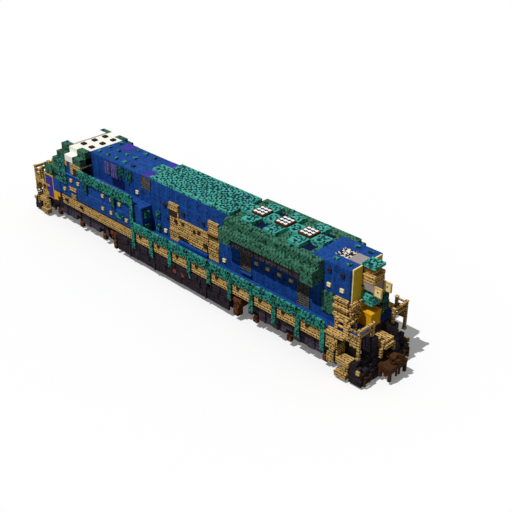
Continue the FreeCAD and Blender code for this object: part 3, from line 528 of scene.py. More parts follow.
# a dark brown standing for the shade in pits and hollows and under the cab pillar: painted shade
hollowShadeBrown = finish("hollow_brown", "brown_paint", (70, 50, 26), boardLook, bare=(110, 84, 50), bareAmount=0.2)
rust = finish("rust_brown", "brown_paint", (108, 60, 27), second=(54, 29, 14), share=0.45, cell=2 * cell, fine=0.3,
              grime=0.1)
copper = finish("copper_cap", "brown_paint", (172, 84, 44), second=(110, 50, 28), fine=0.2)
gold = finish("gold_paint", "gold_paint", (228, 168, 24), fine=0.05, broad=0.05, bare=(245, 215, 120), streaks=0.15,
              grime=0.1)
olive = finish("olive_plate", "gold_paint", (222, 192, 50), fine=0.04, broad=0.04, bare=(235, 220, 140),
               streaks=0.15, grime=0.1)
goldCap = finish("gold_cap", "gold_paint", (214, 180, 102), fine=0.12, bare=(240, 222, 170), streaks=0.15)
cream = finish("cream_paint", "cream_paint", (255, 252, 240), fine=0.012, broad=0.012, drift=0.015,
               bare=(205, 196, 172), bareAmount=0.3, dust=0, streaks=0.06, grime=0.1, length=bay, height=bay,
               seam=0.006, seamDark=0.15)
whiteTile = finish("white_tile", "cream_paint", (255, 255, 254), fine=0.01, broad=0.01, drift=0.01, bareAmount=0.15,
                   dust=0)
lightCap = finish("light_cap", "cream_paint", (250, 230, 165), fine=0.08, bare=(250, 240, 205), streaks=0.1)
paleBar = finish("pale_bars", "cream_paint", (136, 148, 190), second=(104, 100, 168), fine=0.1)
speckled = finish("speckled_plate", "cream_paint", (225, 222, 214), second=(14, 12, 16), share=0.6, cell=1.4 * cell,
                  fine=0.05, bareAmount=0.1)
lampLens = finish("lamp_lens", "cream_paint", (238, 228, 186), fine=0.03, roughness=0.25, dust=0, streaks=0.05,
                  specular=0.4)
violet = finish("violet_paint", "violet_paint", (62, 54, 156), fine=0.08, broad=0.05, bare=(120, 115, 195))
pane = finish("pale_pane", "violet_paint", (62, 60, 118), second=(92, 84, 148), share=0.35, fine=0.1, streaks=0.3)
brick = finish("dark_brick", "dark_paint", (44, 36, 46), brickLook)
ironDark = finish("iron_dark", "dark_paint", (40, 34, 42), brickLook)
# lighter than the dark brick, as painted light on stones that lie in the sill's shadow
bogieStoneLit = finish("bogie_stone", "dark_paint", (74, 64, 76), brickLook)
# lighter than the dark brick, as painted light on fins that lie in the flare's shadow
finStoneLit = finish("fin_stone", "dark_paint", (66, 57, 62), brickLook, second=(40, 34, 38), share=0.35, seam=0.006)
stoneGrille = finish("stone_grille", "dark_paint", (94, 90, 84), second=(68, 63, 60), share=0.3, cell=2 * cell,
                     fine=0.25)
darkCap = finish("dark_cap", "dark_paint", (40, 30, 33), fine=0.15, bare=(90, 80, 82), dust=0.03)
# black paint on the tank straps; elsewhere painted shade in the step wells, the cab doorway and behind the grilles,
# hatches and small lattices
blackPaintAndShade = finish("black_panel", "dark_paint", (12, 10, 12), fine=0.2, bare=(40, 36, 36), roughness=0.5,
                    specular=0.15)
greyStone = finish("grey_stone", "steel", (160, 152, 150), fine=0.1, broad=0.05, bareAmount=0.2, streaks=0.1)
steel = finish("steel", "steel", (70, 68, 66), fine=0.1, bare=(150, 148, 145), roughness=0.5, metallic=0.4,
               specular=0.3)
engineGrey = finish("engine_grey", "engine_grey", (96, 98, 96), fine=0.1, length=bay / 2, height=bay / 2, tone=0.06)
wheelSteel = finish("wheel_steel", "wheel_steel", (58, 50, 46), fine=0.12, cell=cell / 2, bare=(150, 146, 140),
                    reach=0.02, bareAmount=0.7, roughness=0.6, metallic=0.2)
fanMetal = finish("fan_metal", "fan_metal", (60, 62, 64), fine=0.08, cell=cell / 2, roughness=0.45, metallic=0.5,
                  specular=0.3)


def makeGlass():
    made, shader = newMaterial("window_glass")
    marks = placed(weather, Dust=0.1, Streaks=0.5, Grime=0)
    wire(shader["Base Color"], blend(marks["Streak"], linear((64, 120, 66)), linear((104, 150, 88))))
    wire(shader["Roughness"], calc("MULTIPLY_ADD", marks["Streak"], 0.4, 0.08))
    shader["Transmission Weight"].default_value = 0.3
    shader["IOR"].default_value = 1.45
    return made


glass = makeGlass()

nodeFinishes = {
    blue: "cab_body engine_door_left engine_door_right engine_hood front_hood lockers radiator_hood rear_hood",
    green: "nose nose_door radiator_flares",
    cream: "cab_roof",
    teal: "cab_hatch_left cab_hatch_right handrail_left handrail_right ladder_rungs roof_panels",
    tan: "centre_platforms corner_steps end_railings intake_panels sill_planks rear_light sand_box",
    brick: "main_frame fuel_tank pilots radiator_shutters",
    ironDark: "bogie_frame_front bogie_frame_rear journal_boxes_front journal_boxes_rear draft_pockets"
              " traction_motors_front traction_motors_rear",
    brown: "tank_end_frames fan_housings coupler_front coupler_rear knuckle_front knuckle_rear",
    olive: "end_plates",
    gold: "locker_frames",
    violet: "locker_door_left locker_door_right",
    steel: "centre_pins",
    glass: "cab_windows",
    engineGrey: "engine_block",
    wheelSteel: "wheelset_1 wheelset_2 wheelset_3 wheelset_4 wheelset_5 wheelset_6",
    fanMetal: "fan_1 fan_2 fan_3",
}
for made, names in nodeFinishes.items():
    for name in names.split():
        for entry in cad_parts[name].material_slots:
            entry.material = made
print("finishes made")


# Roof lattice

roofLook = {
    "areas": [(-18, -10, -1.5, 1.5), (-19, -18, -0.5, 0.5), (0, 1, -0.5, 0.5)],
    "top": 3 * px,
    "sheet": 0.02,
    "core": 0.021,  # how far the dark sheet of painted shade lies under the top
    "stitches": (("##.#", "...#", "#.##", "#..."), (".#.#", "##..", "..##", "#.#."), ("#..#", "#.#.", "..##", "##.."),
                 (".##.", "#..#", "#.#.", "..##")),
}


def slotted(i, j):
    # short slots, turned otherwise from one block of cells to the next
    across, up = i // 4, j // 4
    block = roofLook["stitches"][(3 * across + 5 * up + across * up) % 4]
    return block[j % 4][i % 4] == "#"


def roofPanel(x0, x1, y0, y1):
    cells = round((x1 - x0) * latticeCells), round((y1 - y0) * latticeCells)
    return latticePanel((x0, y0, roofLook["top"]), (x1 - x0, 0, 0), (0, y1 - y0, 0), cells,
                        lambda i, j: slotted(i, j) and 0 < j < cells[1] - 1, roofLook["sheet"])


def makeRoof():
    areas, top = roofLook["areas"], roofLook["top"]
    panels = [roofPanel(*area) for area in areas]
    borders = [bar for area in areas for bar in around(*area, px, 0, top - roofLook["sheet"])]
    lattice = joined("roof_lattice", crates("roof_borders", borders, edge=0.003), *panels)
    settle(lattice, teal, stands=["roof_panels"])
    # dark sheets under the panels: painted shade seen through the slots
    cores = [(x0 + px, x1 - px, y0 + px, y1 - px, 0, top - roofLook["core"]) for x0, x1, y0, y1 in areas]
    layBlocks({"roof_cores": (paintedShadeCore, 0.002, cores)}, across="")


makeRoof()
print("roof lattice made")


# Radiator roof: slotted squares, wells, low green plates and the fan guards

radiatorLook = {
    "deck": -0.128,  # the radiator hood's roof
    "squares": [(x, 0) for x in (-9.5, -7.5, -5.5, -3.5)] + [(x, y) for x in (-8.5, -6.5, -4.5) for y in (-1, 1)],
    "plates": [(-9.5, -1), (-5.5, -1), (-9.5, 1), (-5.5, 1)],
    "wells": [(-7.5, -1), (-3.5, -1), (-7.5, 1), (-3.5, 1)],
    "squareTop": 0.2,
    "plateTop": -0.06,
    "half": 0.5,  # of a square's width
    "coreHalf": 0.44,
    "wellEnd": 0.2,  # how far a well reaches along and out
    "wellSide": 1.28,
    "wellFloor": 0.01,
}


def squareSlot(i, j):
    return 0 < i < latticeCells - 1 and 0 < j < latticeCells - 1 and slotted(i, j)


def makeRadiatorRoof():
    keys = ("deck", "squareTop", "plateTop", "half", "coreHalf", "wellEnd", "wellSide")
    deck, top, low, half, core, end, side = (radiatorLook[key] for key in keys)
    cells = (latticeCells, latticeCells)
    squares, borders, cores, wells = [], [], [], []
    for x, y in radiatorLook["squares"]:
        corner = (x - half, y - half, top)
        squares.append(latticePanel(corner, (1, 0, 0), (0, 1, 0), cells, squareSlot, roofLook["sheet"]))
        borders += around(x - half, x + half, y - half, y + half, px, deck, top - roofLook["sheet"])
        # a dark sheet under each square: painted shade seen through the slots
        cores.append((x - core, x + core, y - core, y + core, deck, top - roofLook["core"]))
    settle(joined("radiator_squares", crates("square_borders", borders, edge=0.003), *squares), teal)
    plates = [(x - half, x + half, y - half, y + half, deck, low) for x, y in radiatorLook["plates"]]
    for x, y in radiatorLook["wells"]:
        plates += [(x - half, x + end, *sorted((side * y, (1 + half) * y)), deck, low),
                   (x + end, x + half, y - half, y + half, deck, low)]
        # each well floor takes the darker blue of painted shade
        wells.append((x - half, x + end, *sorted((half * y, side * y)), deck, deck + radiatorLook["wellFloor"]))
    layBlocks({"radiator_cores": (paintedShadeCore, 0.002, cores), "radiator_plates": (green, 0.008, plates),
               "radiator_wells": (wellShadeBlue, 0.002, wells)}, across="")


fanLook = {"places": (-8.5, -6.5, -4.5), "half": 0.51, "rim": 0.09, "foot": -0.128, "top": 0.374, "cells": (13, 13)}


def fanHole(i, j):
    # three by three squares, those of a row joined by short bars
    return (i % 5 > 2 or j % 5 > 2) and j % 5 != 1


def makeFanGuards():
    half, rim, foot, top, cells = (fanLook[key] for key in ("half", "rim", "foot", "top", "cells"))
    inner, sheet = half - rim, roofLook["sheet"]
    frames, tops = [], []
    for x in fanLook["places"]:
        frames += around(x - half, x + half, -half, half, rim, foot, top - sheet)
        corner = (x - inner, -inner, top)
        tops.append(latticePanel(corner, (2 * inner, 0, 0), (0, 2 * inner, 0), cells, fanHole, sheet))
    layBlocks({"fan_rims": (brown, 0.01, frames, "fan_housings")}, across="")
    settle(joined("fan_guards", *tops), whiteTile)


makeRadiatorRoof()
makeFanGuards()
print("radiator roof made")


# Square caps on the roof and walls

capLook = {"width": 0.28, "length": 0.24, "height": 0.11, "rings": ((0.016, 0.008), (0.022, -0.014)), "edge": 0.003}
roofCaps = [(x, y, 0) for y, row in (
    (-1, (-24.5, -23.5, -22.5, -21.5, -20.5, -1.5, -0.5)), (0, (-24.5, -23.5, -22.5, -21.5)),
    (1, (-24.5, -22.5, -21.5, -20.5, -1.5, -0.5)), (-1.75, (-7.5, -4.5)), (1.75, (-7.5, -4.5))) for x in row]
cabRoofCaps = [(x, y, 0) for x in (-26.5, -25.5) for y in (-1, 0, 1)]
wallCaps = {
    "dark_caps": (darkCap, 0.11, [(x, -1.5, -1.5) for x in (-16.5, -14.5, -12.5)]
                  + [(-1.5, -1.5, -0.5), (-0.5, -1.5, -0.5)]),
    "light_caps": (lightCap, 0.11, [(-19.5, -1.5, -1.5), (-10.5, -1.5, -3.5), (-1.5, -1.5, -1.5), (-0.5, -1.5, -1.5)]),
    "gold_caps": (goldCap, 0.11, [(x, -1.5, -2.5) for x in (-7.5, -6.5, -5.5, -4.5)]),
    "body_caps": (goldCap, 0.1, [(-26.4, -2.5, -2.5), (-25.5, -2.5, -2.5)]
                  + [(x, -2.5, -3.5) for x in (-27.4, -22.5, -21.5, -19.7)]
                  + [(x, -2.44, -2.5) for x in (-22.5, -21.5, -20.5)]),
    "sill_caps": (darkCap, 0.1, [(-27.35, -2.5, -4.45), (-25.4, -2.5, -4.45)]),
}
doorCap = (-16.5, -1.5, -3.5)


def roofCap(**size):
    # a low square cap standing on z = 0, with a stepped top and a pressed middle
    size = {**capLook, **size}
    width, length, height = (size[key] * bay for key in ("width", "length", "height"))
    deselectAll()
    bpy.ops.mesh.primitive_cube_add(size=1, location=(0, 0, height / 2), scale=(width, length, height))
    cap = placeInMesh(bpy.context.object)
    editFaces(cap, lambda face: face.normal.z > 0.9)
    stepFaces(*size["rings"])
    bpy.ops.mesh.select_all(action="SELECT")
    bpy.ops.mesh.bevel(offset=size["edge"], segments=1, affect="EDGES")
    doneEditing()
    return cap


def wallCap(**size):
    return turned(roofCap(**size), 90, "X")  # faces -Y


def makeCaps():
    settle(stamped("roof_caps", roofCap(), roofCaps), capTeal)
    settle(stamped("cab_roof_caps", roofCap(width=0.36, length=0.36), cabRoofCaps), darkCap)
    for name, (made, height, places) in wallCaps.items():
        settle(mirrored(stamped(name, wallCap(height=height), places)), made)
    settleTwins(stamped("engine_door_cap_right", wallCap(), [doorCap]), lightCap, "engine_door_right")


makeCaps()
print("caps made")


# Roof plates and cab roof

roofPlates = {
    "speckled_roof_plate": (speckled, 0.004, [(-2, -1, -0.5, 0.5, 0, 0.02)]),
    "grey_roof_plate": (greyStone, 0.004, [(-1, 0, -0.5, 0.5, 0, 0.02)]),
    "violet_roof_plates": (violet, 0.004, [(-24, -23, 0.5, 1.5, 0, 0.02), (-19, -18, 0.5, 1.5, 0, 0.02),
                                           (-19, -18, -1.5, -0.5, 0, 0.02)]),
}
cabRoofLook = {"lift": 0.022, "front": 0.07}


def makeCabRoof():
    lift, front = cabRoofLook["lift"], cabRoofLook["front"]
    sides = [(x0, x1, y - lift, -1.5, -1, top + lift) for x0, x1 in ((-26, -25 + lift), (-28 - lift, -27))
             for y, top in ((-2, 0), (-2.5, -0.5))]
    dashes = [(-27.02, -26.98, -1.5 + n / 8, -1.43 + n / 8, front - 0.002, front + 0.01) for n in range(24)]
    layBlocks({
        "cab_roof_sides": (cabGreen, 0.008, sides),
        "cab_roof_tips": (paleBlue, 0.008, [(-27.8, -27.66, -1.72, -1.56, 0, 0.14)]),
        "violet_ledges": (violet, 0.004, [(-24.3, -21.2, -2.4, -1.52, -2, -1.96)]),
    })
    layBlocks({
        "cab_roof_front": (whiteTile, 0.008, [(-28, -27, -1.5, 1.5, 0, front)]),
        "cab_roof_dashes": (darkCap, 0.001, dashes),
    }, across="")


layBlocks(roofPlates, across="")
makeCabRoof()
print("cab roof made")


# Walkway railings

railLook = {
    "sheet": 0.03,
    "outer": -2.62,
    "inner": -2.5,
    "low": -4.05,
    "high": -3.35,
    "cabTop": -1.3,
    "half": 0.17,  # of a post's width
    "postFoot": -5.45,
    "posts": range(-17, 0, 2),
    "ends": (-25.5, -19, -1),  # of the upper band and of the lower one, which meet at the middle place
    "cabLow": -2.1,
    "standards": (-24.6, -21.2),
    "backLow": 0.02,  # how far the sheet behind ends under the top
    "backDeep": 0.035,
    "capLength": 0.4,
}


def railHole(i, j):
    return j < 6 and slotted(i, j)


def railBackHole(i, j):
    # the few gaps that go right through
    return 0 < j < 6 and slotted(i, j) and (3 * i + 5 * j) % 5 < 2


def postHole(i, j):
    # stitches up a post, at turns left and right
    return (i == 1 and j % 3 == 0) or (i == 0 and j % 4 == 1) or (i == 2 and j % 4 == 3)


def railBand(x0, x1, low, high, isOpen, back=0, rows=7):
    cells = (max(3, round((x1 - x0) * latticeCells)), rows)
    corner = (x0, railLook["outer"] + back, low)
    return latticePanel(corner, (x1 - x0, 0, 0), (0, 0, high - low), cells, isOpen, railLook["sheet"])


def makeRailings():
    keys = ("outer", "inner", "low", "high", "cabTop", "half", "postFoot", "ends", "capLength")
    outer, inner, low, high, cabTop, half, foot, (front, corner, rear), long = (railLook[key] for key in keys)
    fronts, backs, cores = [], [], []
    for x0, x1, z0, z1 in ((corner, rear, low, high), (front, corner, railLook["cabLow"], cabTop)):
        fronts.append(railBand(x0, x1, z0, z1, railHole))
        backs.append(railBand(x0, x1, z0, z1 - railLook["backLow"], railBackHole, back=railLook["backDeep"]))
    for x, top in [(corner, cabTop)] + [(x, high) for x in railLook["posts"]]:
        fronts.append(railBand(x - half, x + half, foot, top, postHole, rows=round((top - foot) * latticeCells)))
        cores.append((x - half + 0.01, x + half - 0.01, outer + 0.032, inner, foot, top - 0.02))
    caps = [(x0 + n / 2, x0 + long + n / 2, outer - 0.001, inner + 0.02, top - 0.03, top + lift)
            for x0, count, top, lift in ((corner, 36, high, 0.012), (front, 13, cabTop, 0.01)) for n in range(count)]
    railing = joined("walkway_railings", *fronts, crates("rail_caps", caps, edge=0.006))
    settle(mirrored(railing), railTeal, stands=["handrail_left", "handrail_right"])
    standards = [(x - 0.2, x + 0.2, outer, inner, -3, -2.05) for x in railLook["standards"]]
    # the dark teal sheets and cores behind the railing's holes are painted shade; the standards are posts
    backing = joined("rail_backing", *backs, crates("rail_cores", cores + standards, edge=0.004))
    settle(mirrored(backing), darkTeal)


makeRailings()
print("railings made")


# Board panels: rows of boards with gaps between them


def boardRows(x0, x1, y0, y1, z0, z1, height=0.25, length=1, gap=0.015):
    rows = round((z1 - z0) / height)
    high = (z1 - z0) / rows
    made = []
    for row in range(rows):
        low = z0 + row * high
        start = x0 - (row % 2) * length / 2
        while start < x1 - 0.01:
            a, b = max(start, x0), min(start + length, x1)
            if b - a > 0.05:
                proud = 0.02 * ((row * 7 + int(start * 3)) % 3)
                made.append((a + gap, b - gap, y0 - proud, y1, low + gap, low + high - gap))
            start += length
    return made


sillLook = {
    "face": -2.5,
    "back": -2.42,
    "low": -4.93,
    "high": -4.17,
    "setBack": 0.045,  # of the boards from the fringe
    "fringe": (-4.2, -4.02),
    "knots": range(-19, -1, 2),
}
intakeLook = {
    "face": -1.595,
    "back": -1.46,
    "columns": (-16, -12),
    # pits and hollows are proud dark blocks of painted shade, in the intake and under the lips
    "pits": [(-15.3, -2.3), (-14.5, -2.24), (-13.35, -2.44), (-12.3, -3.05), (-12.9, -2.36)],
    # from and to, how far out, low and high
    "hollows": [(-15.98, -15.14, 0.052, -1.96, -1.4), (-11.98, -11.06, 0.052, -2.24, -1.96),
                (-15.06, -14.1, 0.04, -3.5, -3.28), (-12.5, -12.04, 0.052, -3.46, -2.9)],
    "lips": [(-16, -15.08, 0.07, -1.52, -1.38), (-12, -11, 0.07, -1.98, -1.84), (-15.1, -12, 0.09, -2.06, -1.96),
             (-13.9, -12.1, 0.07, -3.5, -3.3), (-12.02, -11, 0.08, -2.9, -2.76)],
}


def makeSills():
    keys = ("face", "back", "low", "high", "setBack", "fringe")
    face, back, low, high, setBack, fringe = (sillLook[key] for key in keys)
    boards = boardRows(-18.9, 0.06, face + setBack, back, low, high)
    boards += boardRows(-28, -19.1, face + setBack, back, low, fringe[0])
    boards += [(-28 + n / 8, -27.93 + n / 8, face, back, *fringe) for n in range(71)]
    knots = [(x + 0.55, x + 0.8, face - 0.01, face + 0.06, -4.48, -4.26) for x in sillLook["knots"]]
    layBlocks({"sill_boards": (tan, 0.005, boards, "sill_planks"), "sill_knots": (darkCap, 0.01, knots)})


def makeIntakes():
    face, back = intakeLook["face"], intakeLook["back"]
    rows = boardRows(-15, -12, face, back, -3.5, -2)
    for x in intakeLook["columns"]:
        rows += boardRows(x, x + 1, face, back, -2, -1) + boardRows(x, x + 1, face, back, -3.96, -3)
        rows += boardRows(x, x + 1, face + 0.05, back, -3, -2, height=0.5)
    hollows, lips = ([(x0, x1, face - out, face, low, high) for x0, x1, out, low, high in intakeLook[key]]
                     for key in ("hollows", "lips"))
    pits = [(x - 0.16, x + 0.12, face - 0.05, face, z - 0.15, z + 0.17) for x, z in intakeLook["pits"]]
    layBlocks({"intake_boards": (tan, 0.005, rows, "intake_panels"), "intake_hollows": (hollowShadeBrown, 0.01, pits + hollows),
               "intake_lips": (tan, 0.006, lips)})


makeSills()
makeIntakes()
print("boards made")


# Corner pieces: each is modelled once, on the near side at the rear, and mirrored to the other corners


def gateHole(i, j):
    # small openings between the bars of a gate, each row set off from the next
    return i % 3 == 1 and (j + i // 3) % 4 in (1, 2)


def wideHole(i, j):
    return i % 4 in (1, 2) and j % 4 in (1, 2) and (i // 4 + j // 4) % 3 != 2


def gate(corner, run, low, high, depth=0.1, hole=gateHole):
    # a barred board panel
    cells = (max(3, round(sum(run) * gateCells)), max(4, round((high - low) * gateCells)))
    return latticePanel((*corner, low), run, (0, 0, high - low), cells, hole, depth)


def gateAlong(x0, x1, y, *levels, **look):
    return gate((x0, y), (x1 - x0, 0, 0), *levels, **look)  # faces -Y


def gateAcross(y0, y1, x, *levels, **look):
    return gate((x, y0), (0, y1 - y0, 0), *levels, **look)  # faces +X


treads = [
    # a deep upper tread, a low tread and the risers
    (0.02, 1, -2.5, -1.8, -5.58, -5.45), (0.02, 1, -2.5, -1.84, -5.72, -5.59),
    (0.02, 1, -2.48, -1.84, -5.85, -5.73), (-0.02, 0.88, -2.56, -2.14, -6.58, -6.42),
    (0, 0.86, -2.55, -2.14, -6.8, -6.595), (0.2, 0.9, -2.2, -1.75, -6.3, -6.2),
    (0.3, 0.86, -2.34, -2.14, -6.42, -5.85), (0.5, 0.74, -2.42, -2.34, -6.2, -5.85),
    (0.02, 0.1, -1.8, -1.62, -6.7, -4),
]
cornerBlocks = {
    # black walls in the step wells: painted shade
    "step_wells": (blackPaintAndShade, 0.008, [(0, 0.98, -1.72, -1.6, -6.6, -4.02), (-0.14, 0, -2.4, -1.6, -6.1, -4.02)]),
    # posts with their knobs on the pilot column and the deck, two rails, and the return along the side
    "end_rails": (tan, 0.008, [
        (1.41, 1.59, -1.09, -0.91, -4, -3), (1.41, 1.59, -2.34, -2.16, -5, -3),
        (0.62, 0.8, -2.42, -2.26, -4, -3.05), (1.38, 1.62, -1.12, -0.88, -3.06, -2.98),
        (1.38, 1.62, -2.37, -2.13, -3.06, -2.98), (0.59, 0.83, -2.45, -2.23, -3.1, -3.03),
        (1.38, 1.62, -2.37, -2.13, -5.06, -4.9), (1.42, 1.58, -2.16, -1.09, -3.2, -3.02),
        (1.44, 1.56, -2.16, -1.09, -3.56, -3.44), (0.8, 1.41, -2.38, -2.28, -3.24, -3.12),
        (0.8, 1.41, -2.38, -2.28, -3.6, -3.46)], "end_railings"),
    # the boards of the return, and the deck boards over the corner
    "corner_boards": (tan, 0.005, [
        (0.66, 1.4, -2.36, -2.26, -4.06, -3.85), (0.66, 1.4, -2.38, -2.26, -3.83, -3.66),
        (0.9, 1.4, -2.36, -2.26, -4.3, -4.08)]
        + [(-0.92 + 0.38 * n, -0.555 + 0.38 * n, -2.61, -2.34, -4.02, -3.88) for n in range(4)]
        + [(-0.92 + 0.5 * n, -0.435 + 0.5 * n, -2.33, -2.06, -4.02, -3.88) for n in range(3)]),
}
pilotBlocks = {
    "pilot_stones": (ironDark, 0.012, [
        (1.24, 1.76, -1.26, -0.74, -4.42, -4), (1.25, 1.75, -1.25, -0.75, -4.86, -4.44),
        (1.22, 1.78, -1.28, -0.72, -5.34, -4.88), (1, 1.62, -1.9, -0.62, -5.62, -5.32),
        (1.02, 1.7, -2.34, -1.5, -5.98, -5.64), (1.08, 1.86, -1.48, -0.56, -6, -5.64),
        (1, 1.9, -2.38, -1.62, -6.36, -6), (1, 1.96, -1.6, -0.86, -6.36, -6.02),
        (1, 1.93, -0.84, -0.56, -6.36, -6.02), (1, 1.94, -2.4, -1.2, -6.84, -6.38),
        (1.02, 1.975, -1.18, -0.5, -6.84, -6.38), (1.5, 1.96, -2.1, -1.7, -5.98, -5.7),
        (1.2, 1.5, -2.36, -2, -5.62, -5.36), (1, 1.22, -1.3, -0.7, -5.3, -4.04),
        (1.62, 1.9, -1.2, -0.8, -5.62, -5.36)], "pilots"),
    "pilot_brackets": (brown, 0.005, [
        (1, 2.9, -0.86, -0.58, -6.1, -5.83), (1, 2.9, -0.57, -0.3, -6.1, -5.83), (1, 2.9, -0.29, 0, -6.1, -5.83),
        (2, 2.2, -0.84, -0.66, -6.72, -6.1), (2.4, 2.58, -0.84, -0.66, -6.5, -6.1),
        (2.7, 2.88, -0.84, -0.66, -6.78, -6.1), (2.2, 2.4, -0.82, -0.68, -6.34, -6.1),
        (2.58, 2.7, -0.82, -0.68, -6.4, -6.1), (2.78, 2.88, -0.2, -0.08, -6.66, -5.97),
        (2.79, 2.87, -0.68, -0.2, -6.26, -6.14), (1.99, 2.09, -2.2, -2.08, -6.8, -6.1),
        (1.99, 2.09, -1.75, -1.63, -6.7, -6.1), (2, 2.08, -2.08, -1.75, -6.34, -6.22),
        (2, 2.08, -2.08, -1.75, -6.6, -6.5)]),
    "platform_boards": (tan, 0.005, [
        (1, 2, -0.5, -0.255, -4.64, -4.5), (1, 2, -0.245, 0, -4.64, -4.5), (1, 1.98, -0.5, 0, -4.8, -4.65),
        (1, 1.96, -0.49, 0, -4.98, -4.81), (1.98, 2.14, -0.42, 0, -4.98, -4.72),
        (1.8, 2.02, -0.7, -0.52, -5.5, -4.9)], "centre_platforms"),
}
pilotButton = (1.71, -2.38, -5.84)
stepGates = [(-0.6, -0.1, -2.58, -5.98, -5.3), (-0.7, -0.46, -2.6, -4.98, -4.4), (-0.44, -0.02, -2.58, -5.15, -4.45)]
innerGate = (-2.44, -1.9, 0.1, -5.44, -4.62)


def makeCorners():
    gates = [gateAcross(*innerGate, depth=0.12)] + [gateAlong(*place) for place in stepGates]
    steps = joined("corner_treads", crates("corner_treads", treads, edge=0.006), *gates)
    settle(mirrored(steps, "XY"), tan, stands=["corner_steps"])
    button = stamped("pilot_buttons", wallCap(width=0.26, length=0.26, height=0.12), [pilotButton])
    settle(mirrored(button, "XY"), goldCap)


makeCorners()
layBlocks(cornerBlocks, across="XY")
layBlocks(pilotBlocks, across="XY")
print("corners, pilots and platforms made")


# Rear stack: a tan pedestal, a grey slab, two lamp plates, teal steps and a gold chest

stackBlocks = {
    "rear_pedestal": (tan, 0.006, [
        (0, 1, -0.5, 0.5, -1, -0.76), (0, 0.985, -0.49, 0.49, -0.74, -0.5), (0, 0.76, -0.27, 0.27, -0.48, -0.26),
        (0, 0.74, -0.25, 0.25, -0.24, 0), (0.2, 1.01, 0.3, 0.5, -0.5, -0.3)], "rear_light"),
    "rear_slab": (greyStone, 0.004, [(0, 0.98, -0.49, 0.49, -1.26, -1), (0.3, 0.98, -0.49, 0.49, -1.5, -1.26)]),
    "lamp_plate_rims": (goldCap, 0.004, [(x0, x1, y, y + 0.12, z0, z1) for y in (-0.515, 0.395) for x0, x1, z0, z1 in (
        (1, 1.56, -1.65, -1.58), (1, 1.56, -1.1, -1.02), (1, 1.07, -1.58, -1.1), (1.49, 1.56, -1.58, -1.1))]),
    "lamp_lenses": (darkTeal, 0.003, [(1.18, 1.4, y - 0.03, y + 0.03, -1.44, -1.22) for y in (-0.45, 0.45)]),
    "rear_steps": (teal, 0.006, [(0.1, 0.9, -0.42, 0.42, -1.98, -1.8), (0, 0.96, -0.5, 0.5, -2.24, -2),
                                 (0, 0.92, -0.46, 0.46, -2.5, -2.25)]),
}
chestLook = {
    "plate": [(0, 0.06, -0.49, 0.49, -3, -1.5), (0, 0.07, -0.95, -0.5, -3.95, -3.02),
              (0, 0.07, 0.5, 0.95, -3.95, -3.02)],
    "chest": [(0, 0.98, -0.5, 0.5, -3.14, -3), (0, 0.94, -0.47, 0.47, -3.9, -3.15),
              (0, 0.96, -0.49, 0.49, -4, -3.9)],
}
rearSideBlocks = {
    "rear_posts": (tan, 0.006, [(0.12, 0.28, -0.76, -0.6, -3.4, -2.2), (0.08, 0.32, -0.8, -0.56, -2.3, -2.16),
                                (0.12, 0.28, -0.9, -0.5, -3, -2.86)]),
    "rear_side_green": (green, 0.008, [(-2, -1.52, -1.6, -1.5, -2.76, -2), (-1.5, -1, -1.6, -1.5, -2.76, -2),
                                       (-2, -1, -1.58, -1.5, -3.5, -2.78)]),
    "rear_side_boards": (tan, 0.005, boardRows(-0.98, 0.04, -1.6, -1.49, -3.5, -2)
                         + boardRows(0.14, 0.34, -1.6, -1, -3.3, -2.1) + [
        (-0.98, 0.1, -1.74, -1.58, -2.16, -2.02), (-0.98, 0.2, -1.82, -1.58, -2.66, -2.5),
        (-0.9, 0.3, -1.86, -1.58, -3.16, -3), (0.34, 0.42, -1.62, -1.02, -2.36, -2.22),
        (0.34, 0.42, -1.62, -1.02, -2.86, -2.72), (-0.6, -0.36, -2, -1.8, -4, -3.12),
        (0.1, 0.34, -2, -1.8, -4, -3.06), (-0.36, 0.1, -1.96, -1.84, -3.34, -3.2),
        (-0.36, 0.1, -1.96, -1.84, -3.76, -3.62), (0.34, 0.5, -1.9, -1.2, -3.36, -3.2),
        (0.34, 0.5, -1.4, -1.2, -4, -3.1)]),
    "end_plate_trims": (lightCap, 0.003, [(0, 0.1, -1.32, -0.5, 0, 0.02), (0, 0.1, -1.325, -1.295, -3, 0)]),
}


def lampHole(i, j):
    return i in (3, 4) and j in (4, 5)


def makeStack():
    plates = [latticePanel((1.03, y, -1.62), (0.5, 0, 0), (0, 0, 0.58), (8, 10), lampHole, 0.096)
              for y in (-0.5, 0.404)]
    settle(joined("rear_lamp_plates", *plates), lightCap)
    settle(named(gateAcross(0.56, 1.08, 1, -3.2, -1.9, depth=0.08), "rear_ladder"), darkTeal)
    plate = crates("rear_wall_plate", chestLook["plate"], edge=0.003)
    chest = joined("sand_chest", plate, crates("sand_chest", chestLook["chest"], edge=0.01))
    settle(chest, gold, stands=["sand_box"])


layBlocks(stackBlocks, across="")
makeStack()
layBlocks(rearSideBlocks)
print("rear end made")


# Cab: hatches, side pillars, doorways to the rear, inside and front fittings

hatchLook = {
    "x": (-27.99, -27.01),
    "z": (-2.99, -1.02),
    "face": -2.62,
    "border": 0.06,
    # black blocks behind some hatch holes: painted shade
    "dark": [(-27.86, -27.12, -2.6, -2.56, -2.88, -2.24), (-27.52, -27.24, -2.6, -2.56, -1.66, -1.48)],
    "gap": {(2, 5), (3, 5), (2, 4), (3, 3), (3, 4), (4, 4), (4, 3), (5, 4), (4, 2), (5, 2), (5, 1), (6, 2), (6, 1),
            (4, 11), (5, 11)},
}


def hatchHole(i, j):
    return (i, j) in hatchLook["gap"] or (0 < i < 7 and 5 < j < 15 and slotted(i, j) and j != 8)


